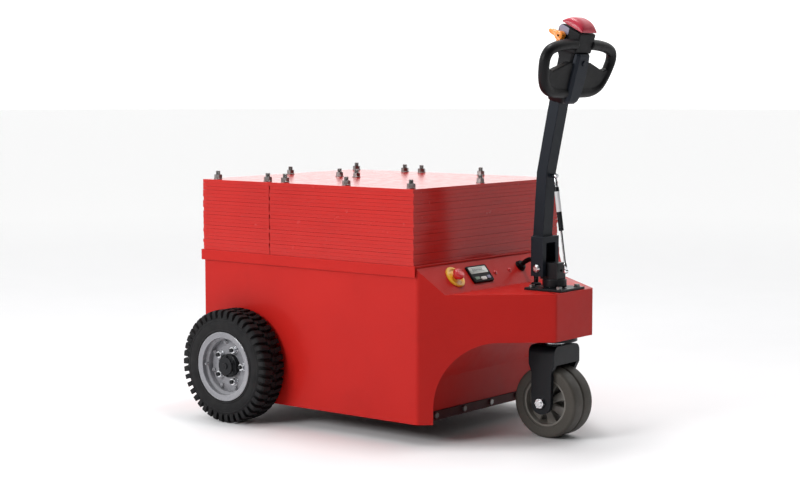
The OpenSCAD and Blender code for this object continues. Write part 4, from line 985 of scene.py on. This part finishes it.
casingSections = [   # height, rear, front, half width, corner radius, all millimetres
    (0.5, -22, 32, 35, 8), (8, -23, 38, 41, 9), (20, -22, 42, 52, 10), (30, -20, 42, 57, 11),
    (66, -16, 40, 57, 11), (90, -16, 39, 51, 11), (118, -17, 38, 45, 10), (142, -20, 37, 43, 10),
    (160, -30, 36.5, 42.5, 9),
    (170, -36, 38, 44, 9),
]


def headCasing():
    rings = []
    for z, rear, front, half, corner in casingSections:
        outline = roundedCorners([(rear, -half), (front, -half), (front, half), (rear, half)], corner, 6)
        rings.append([(x / 1000, y / 1000, z / 1000) for x, y in outline])
    parts = [lofted(rings)]
    side = roundedCorners([(-0.037, 0.166), (0.043, 0.166), (0.0450, 0.2291), (-0.0305, 0.2441),
                           (-0.0395, 0.2331)], 0.0045, 5)
    block = extruded([(x, z) for x, z in side], -0.0455, 0.0455)
    parts.append(([(p[0], p[2], p[1]) for p in block[0]], flipped(block[1])))
    fused("headCasing", parts, "black_plastic", head["casingVoxel"], 4, "head_casing")


def headCover():
    # the faceted ridge down the front: a flat face between two chamfers
    rows = [(4, 27, 38, 46), (14, 34, 38, 52), (36, 39, 38, 55.5), (90, 41, 38, 56), (136, 39.5, 38, 55),
            (160, 37.5, 38, 53.5), (166, 37, 39, 50)]
    rings = []
    for z, half, back, front in rows:
        ring = [(back, -half), (front - 7, -half + 1.0), (front, -half + 12), (front, half - 12),
                (front - 7, half - 1.0), (back, half)]
        rings.append([(x / 1000, y / 1000, z / 1000) for x, y in ring])
    cover = newPiece("headCover", placed(lofted(rings), headPlace()), "slate_plastic", "tiller", sharp=20,
                     instead="head_cover")
    softened(cover, 0.0016, 3, 14)


def hubSidePlates():
    # the pale inlays on both cheeks of the switch housing
    for side, name in ((1, "hubInlayLeft"), (-1, "hubInlayRight")):
        flat = roundedCorners([(-0.0330, 0.2150), (0.0010, 0.2150), (0.0010, 0.2365), (-0.0290, 0.2425),
                               (-0.0365, 0.2340)], 0.0025, 4)
        slab = extruded(flat, 0, 0.0014)
        lifted = [(p[0], side * (0.0452 + p[2]), p[1]) for p in slab[0]]
        part = placed((lifted, slab[1] if side < 0 else flipped(slab[1])), headPlace())
        inlay = newPiece(name, part, "button_grey", "tiller", sharp=24)
        softened(inlay, 0.0006, 2)


def bellyButton():
    rear, front = Vector((-0.0315, 0.2500)), Vector((0.0455, 0.2340))
    along = (front - rear)
    lift = Vector((-along.y, along.x)).normalized()
    rows, columns = 26, 34
    half = 0.0455
    upper, lower = [], []
    for i in range(rows + 1):
        u = -math.cos(math.pi * i / rows)
        for k in range(columns + 1):
            v = -math.cos(math.pi * k / columns)
            dome = (max(0.0, 1 - abs(u) ** 2.3) ** 0.62) * (max(0.0, 1 - abs(v) ** 4.0) ** 0.42)
            middlePoint = rear + along * (u + 1) / 2
            narrow = 1 - 0.05 * (u + 1) / 2
            top = middlePoint + lift * (0.0035 + 0.0252 * dome)
            upper.append((top.x, v * half * narrow, top.y))
            foot = middlePoint + lift * 0.0003
            lower.append((foot.x, v * half * narrow, foot.y))
    faces = []
    width = columns + 1
    count = len(upper)
    for i in range(rows):
        for k in range(columns):
            a, b, c, d = i * width + k, i * width + k + 1, (i + 1) * width + k + 1, (i + 1) * width + k
            faces.append((a, b, c, d))
            faces.append((count + d, count + c, count + b, count + a))
    rim = ([k for k in range(width)] + [i * width + columns for i in range(1, rows + 1)]
           + [rows * width + k for k in range(columns - 1, -1, -1)]
           + [i * width for i in range(rows - 1, 0, -1)])
    for k, a in enumerate(rim):
        b = rim[(k + 1) % len(rim)]
        faces.append((b, a, count + a, count + b))
    cap = (upper + lower, faces)
    stem = placed(lathe([(0.0118, -0.0155), (0.0118, 0.001)], 40, closed=False),
                  shifted(0.0075, 0, 0.233) @ Matrix.Rotation(math.atan2(-along.y, along.x), 4, "Y"))
    newPiece("bellyButton", placed(joined([cap, stem]), headPlace()), "belly_red", "belly_switch", sharp=50,
             instead="belly_button")


throttleShape = {"axis": (-0.018, 0.208), "hub": 0.0145, "reach": 0.0412, "spread": 19.0,
                 "wings": (-70.0, 168.0), "inY": 0.0472, "outY": 0.0708,
                 "sections": ((0, 0.86), (0.04, 0.95), (0.14, 1.0), (0.5, 0.97), (0.86, 1.0),
                              (0.96, 0.95), (1, 0.86))}


def throttleWings():
    t = throttleShape
    parts = [placed(lathe([(0.0068, -0.0498), (0.0068, 0.0498)], 32, closed=False), towardsY(1))]
    outline = []
    for degree in range(0, 360, 5):
        r = t["hub"]
        for wing in t["wings"]:
            away = (degree - wing + 180) % 360 - 180
            r += (t["reach"] - t["hub"]) * math.exp(-(abs(away) / t["spread"]) ** 2.4)
        outline.append(polar(r, rad(degree))[:2])
    for side in (1, -1):
        rings = []
        for share, size in t["sections"]:
            y = side * (t["inY"] + (t["outY"] - t["inY"]) * share)
            rings.append([(x * size, y, z * size) for x, z in outline])
        part = lofted(rings)
        parts.append(part if side < 0 else (part[0], flipped(part[1])))
        screw = lathe([(0.0045, 0), (0.0045, 0.0012), (0.0038, 0.0018), (0.0010, 0.0018)], 28, closed=False)
        parts.append(placed(placed(screw, towardsY(side)), shifted(0, side * (t["outY"] - 0.0018), 0)))
    part = placed(joined(parts), headPlace() @ shifted(t["axis"][0], 0, t["axis"][1]))
    newPiece("throttle", part, "throttle_orange", "thumb_throttle", sharp=40, instead="throttle")


gripLoops()
headCasing()
headCover()
hubSidePlates()
bellyButton()
throttleWings()
print("tiller head built")


# ---- weld beads ----

weldSize = {"radius": 0.0022, "ripple": 0.00035, "pitch": 0.0032}


def weldBead(name, path, body, finish):
    w = weldSize
    fine = []
    for a, b in zip(path, path[1:]):
        a, b = Vector(a), Vector(b)
        steps = max(1, int((b - a).length / (w["pitch"] / 3)))
        fine += [a + (b - a) * k / steps for k in range(steps)]
    fine.append(Vector(path[-1]))
    radii = [w["radius"] + w["ripple"] * (1, -1, -0.4)[k % 3] for k in range(len(fine))]
    newPiece(name, tube(fine, radii, 10), finish, body, 80)


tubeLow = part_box("tiller_bracket")[1].z
tubeX = originX + 0.935
tubeCorners = [(-0.0192, -0.0270), (0.0192, -0.0270), (0.0192, 0.0270), (-0.0192, 0.0270), (-0.0192, -0.0270)]
weldBead("tubeWeld", [(tubeX + x, y, tubeLow + 0.0006) for x, y in tubeCorners],
         "tiller", "slate_paint")
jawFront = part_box("tow_hitch")[1].x - 0.012   # the back plate's rear face
for index, z in enumerate((0.227, 0.275, 0.323)):
    weldBead("hitchWeld" + str(index), [(jawFront - 0.0005, y, z + 0.0006) for y in (-0.044, 0.044)],
             "chassis", "weldMetal")
print("weld beads laid")


# ---- floor, lights and camera ----

studio = {"floorRadius": 60.0, "key": 156.0, "fill": 0.1, "top": 47.0, "backdrop": 1.44,
          "shade": 0.02, "wallSide": (-0.72, 0.46, 0.52), "wallEdge": (-0.2, 0.6),
          "lens": 79.2, "cameraAt": (3.6537, -4.7006, 1.1507), "cameraTurn": (84.4, 0, 38.3)}


def paleFloor():
    under = -0.0004   # just below the wheels' lowest points
    points = [(0, 0, under)] + [polar(studio["floorRadius"], rad(a), under) for a in range(0, 360, 5)]
    faces = [(0, i + 1, (i + 1) % 72 + 1) for i in range(72)]
    mesh = bpy.data.meshes.new("studioFloor")
    mesh.from_pydata(points, [], faces)
    f = Finish("paleFloor")
    away = f.add("ShaderNodeVectorMath", {0: f.place}, operation="LENGTH").outputs["Value"]
    near = f.mixed(f.noise(1.2, 3), (0.84, 0.84, 0.85), (0.81, 0.81, 0.82))
    # the floor is painted lighter with distance from the machine: a painted brightening of the far floor,
    # standing in for light it doesn't get
    f.into("Base Color", f.mixed(f.ranged(away, 2.5, 9, 0, 1), near, (0.97, 0.97, 0.97)))
    f.into("Roughness", f.ranged(f.noise(5, 3), 0.3, 0.7, 0.6, 0.75))
    mesh.materials.append(f.mat)
    floor = bpy.data.objects.new("studioFloor", mesh)
    bpy.context.scene.collection.objects.link(floor)


def softLight(name, place, aim, size, power):
    data = bpy.data.lights.new(name, "AREA")
    data.shape = "RECTANGLE"
    data.size, data.size_y = size
    data.energy = power
    light = bpy.data.objects.new(name, data)
    light.location = place
    light.rotation_euler = (Vector(aim) - Vector(place)).to_track_quat("-Z", "Y").to_euler()
    bpy.context.scene.collection.objects.link(light)


def studioWorld():
    world = bpy.data.worlds.new("studioSky")
    world.use_nodes = True
    tree = world.node_tree
    tree.nodes.clear()
    coords = tree.nodes.new("ShaderNodeTexCoord")
    dot = tree.nodes.new("ShaderNodeVectorMath")
    dot.operation = "DOT_PRODUCT"
    dot.inputs[1].default_value = studio["wallSide"]   # towards the bright wall behind the machine
    tree.links.new(coords.outputs["Generated"], dot.inputs[0])
    ramp = tree.nodes.new("ShaderNodeMapRange")
    ramp.interpolation_type = "SMOOTHSTEP"
    levels = (*studio["wallEdge"], studio["shade"], studio["backdrop"])
    for socket, value in zip(("From Min", "From Max", "To Min", "To Max"), levels):
        ramp.inputs[socket].default_value = value
    tree.links.new(dot.outputs["Value"], ramp.inputs["Value"])
    sky = tree.nodes.new("ShaderNodeBackground")
    tree.links.new(ramp.outputs["Result"], sky.inputs["Strength"])
    sky.inputs["Color"].default_value = (1, 1, 1, 1)
    out = tree.nodes.new("ShaderNodeOutputWorld")
    tree.links.new(sky.outputs[0], out.inputs[0])
    bpy.context.scene.world = world


def addCamera():
    data = bpy.data.cameras.new("camera")
    data.lens = studio["lens"]
    data.sensor_width = 36
    camera = bpy.data.objects.new("camera", data)
    camera.location = studio["cameraAt"]
    camera.rotation_euler = [rad(turn) for turn in studio["cameraTurn"]]
    bpy.context.scene.collection.objects.link(camera)
    bpy.context.scene.camera = camera


paleFloor()
studioWorld()
softLight("keyLight", (-1.2, -4.9, 2.5), (-0.05, 0, 0.5), (2.2, 1.6), studio["key"])
softLight("topLight", (0.30, 0.1, 3.7), (0.36, 0, 0.4), (0.5, 0.9), studio["top"])
softLight("fillLight", (4.4, -1.2, 2.2), (0.3, 0, 0.5), (2.0, 2.0), studio["fill"])
addCamera()
bpy.context.scene.view_settings.view_transform = "Standard"
print("studio ready")
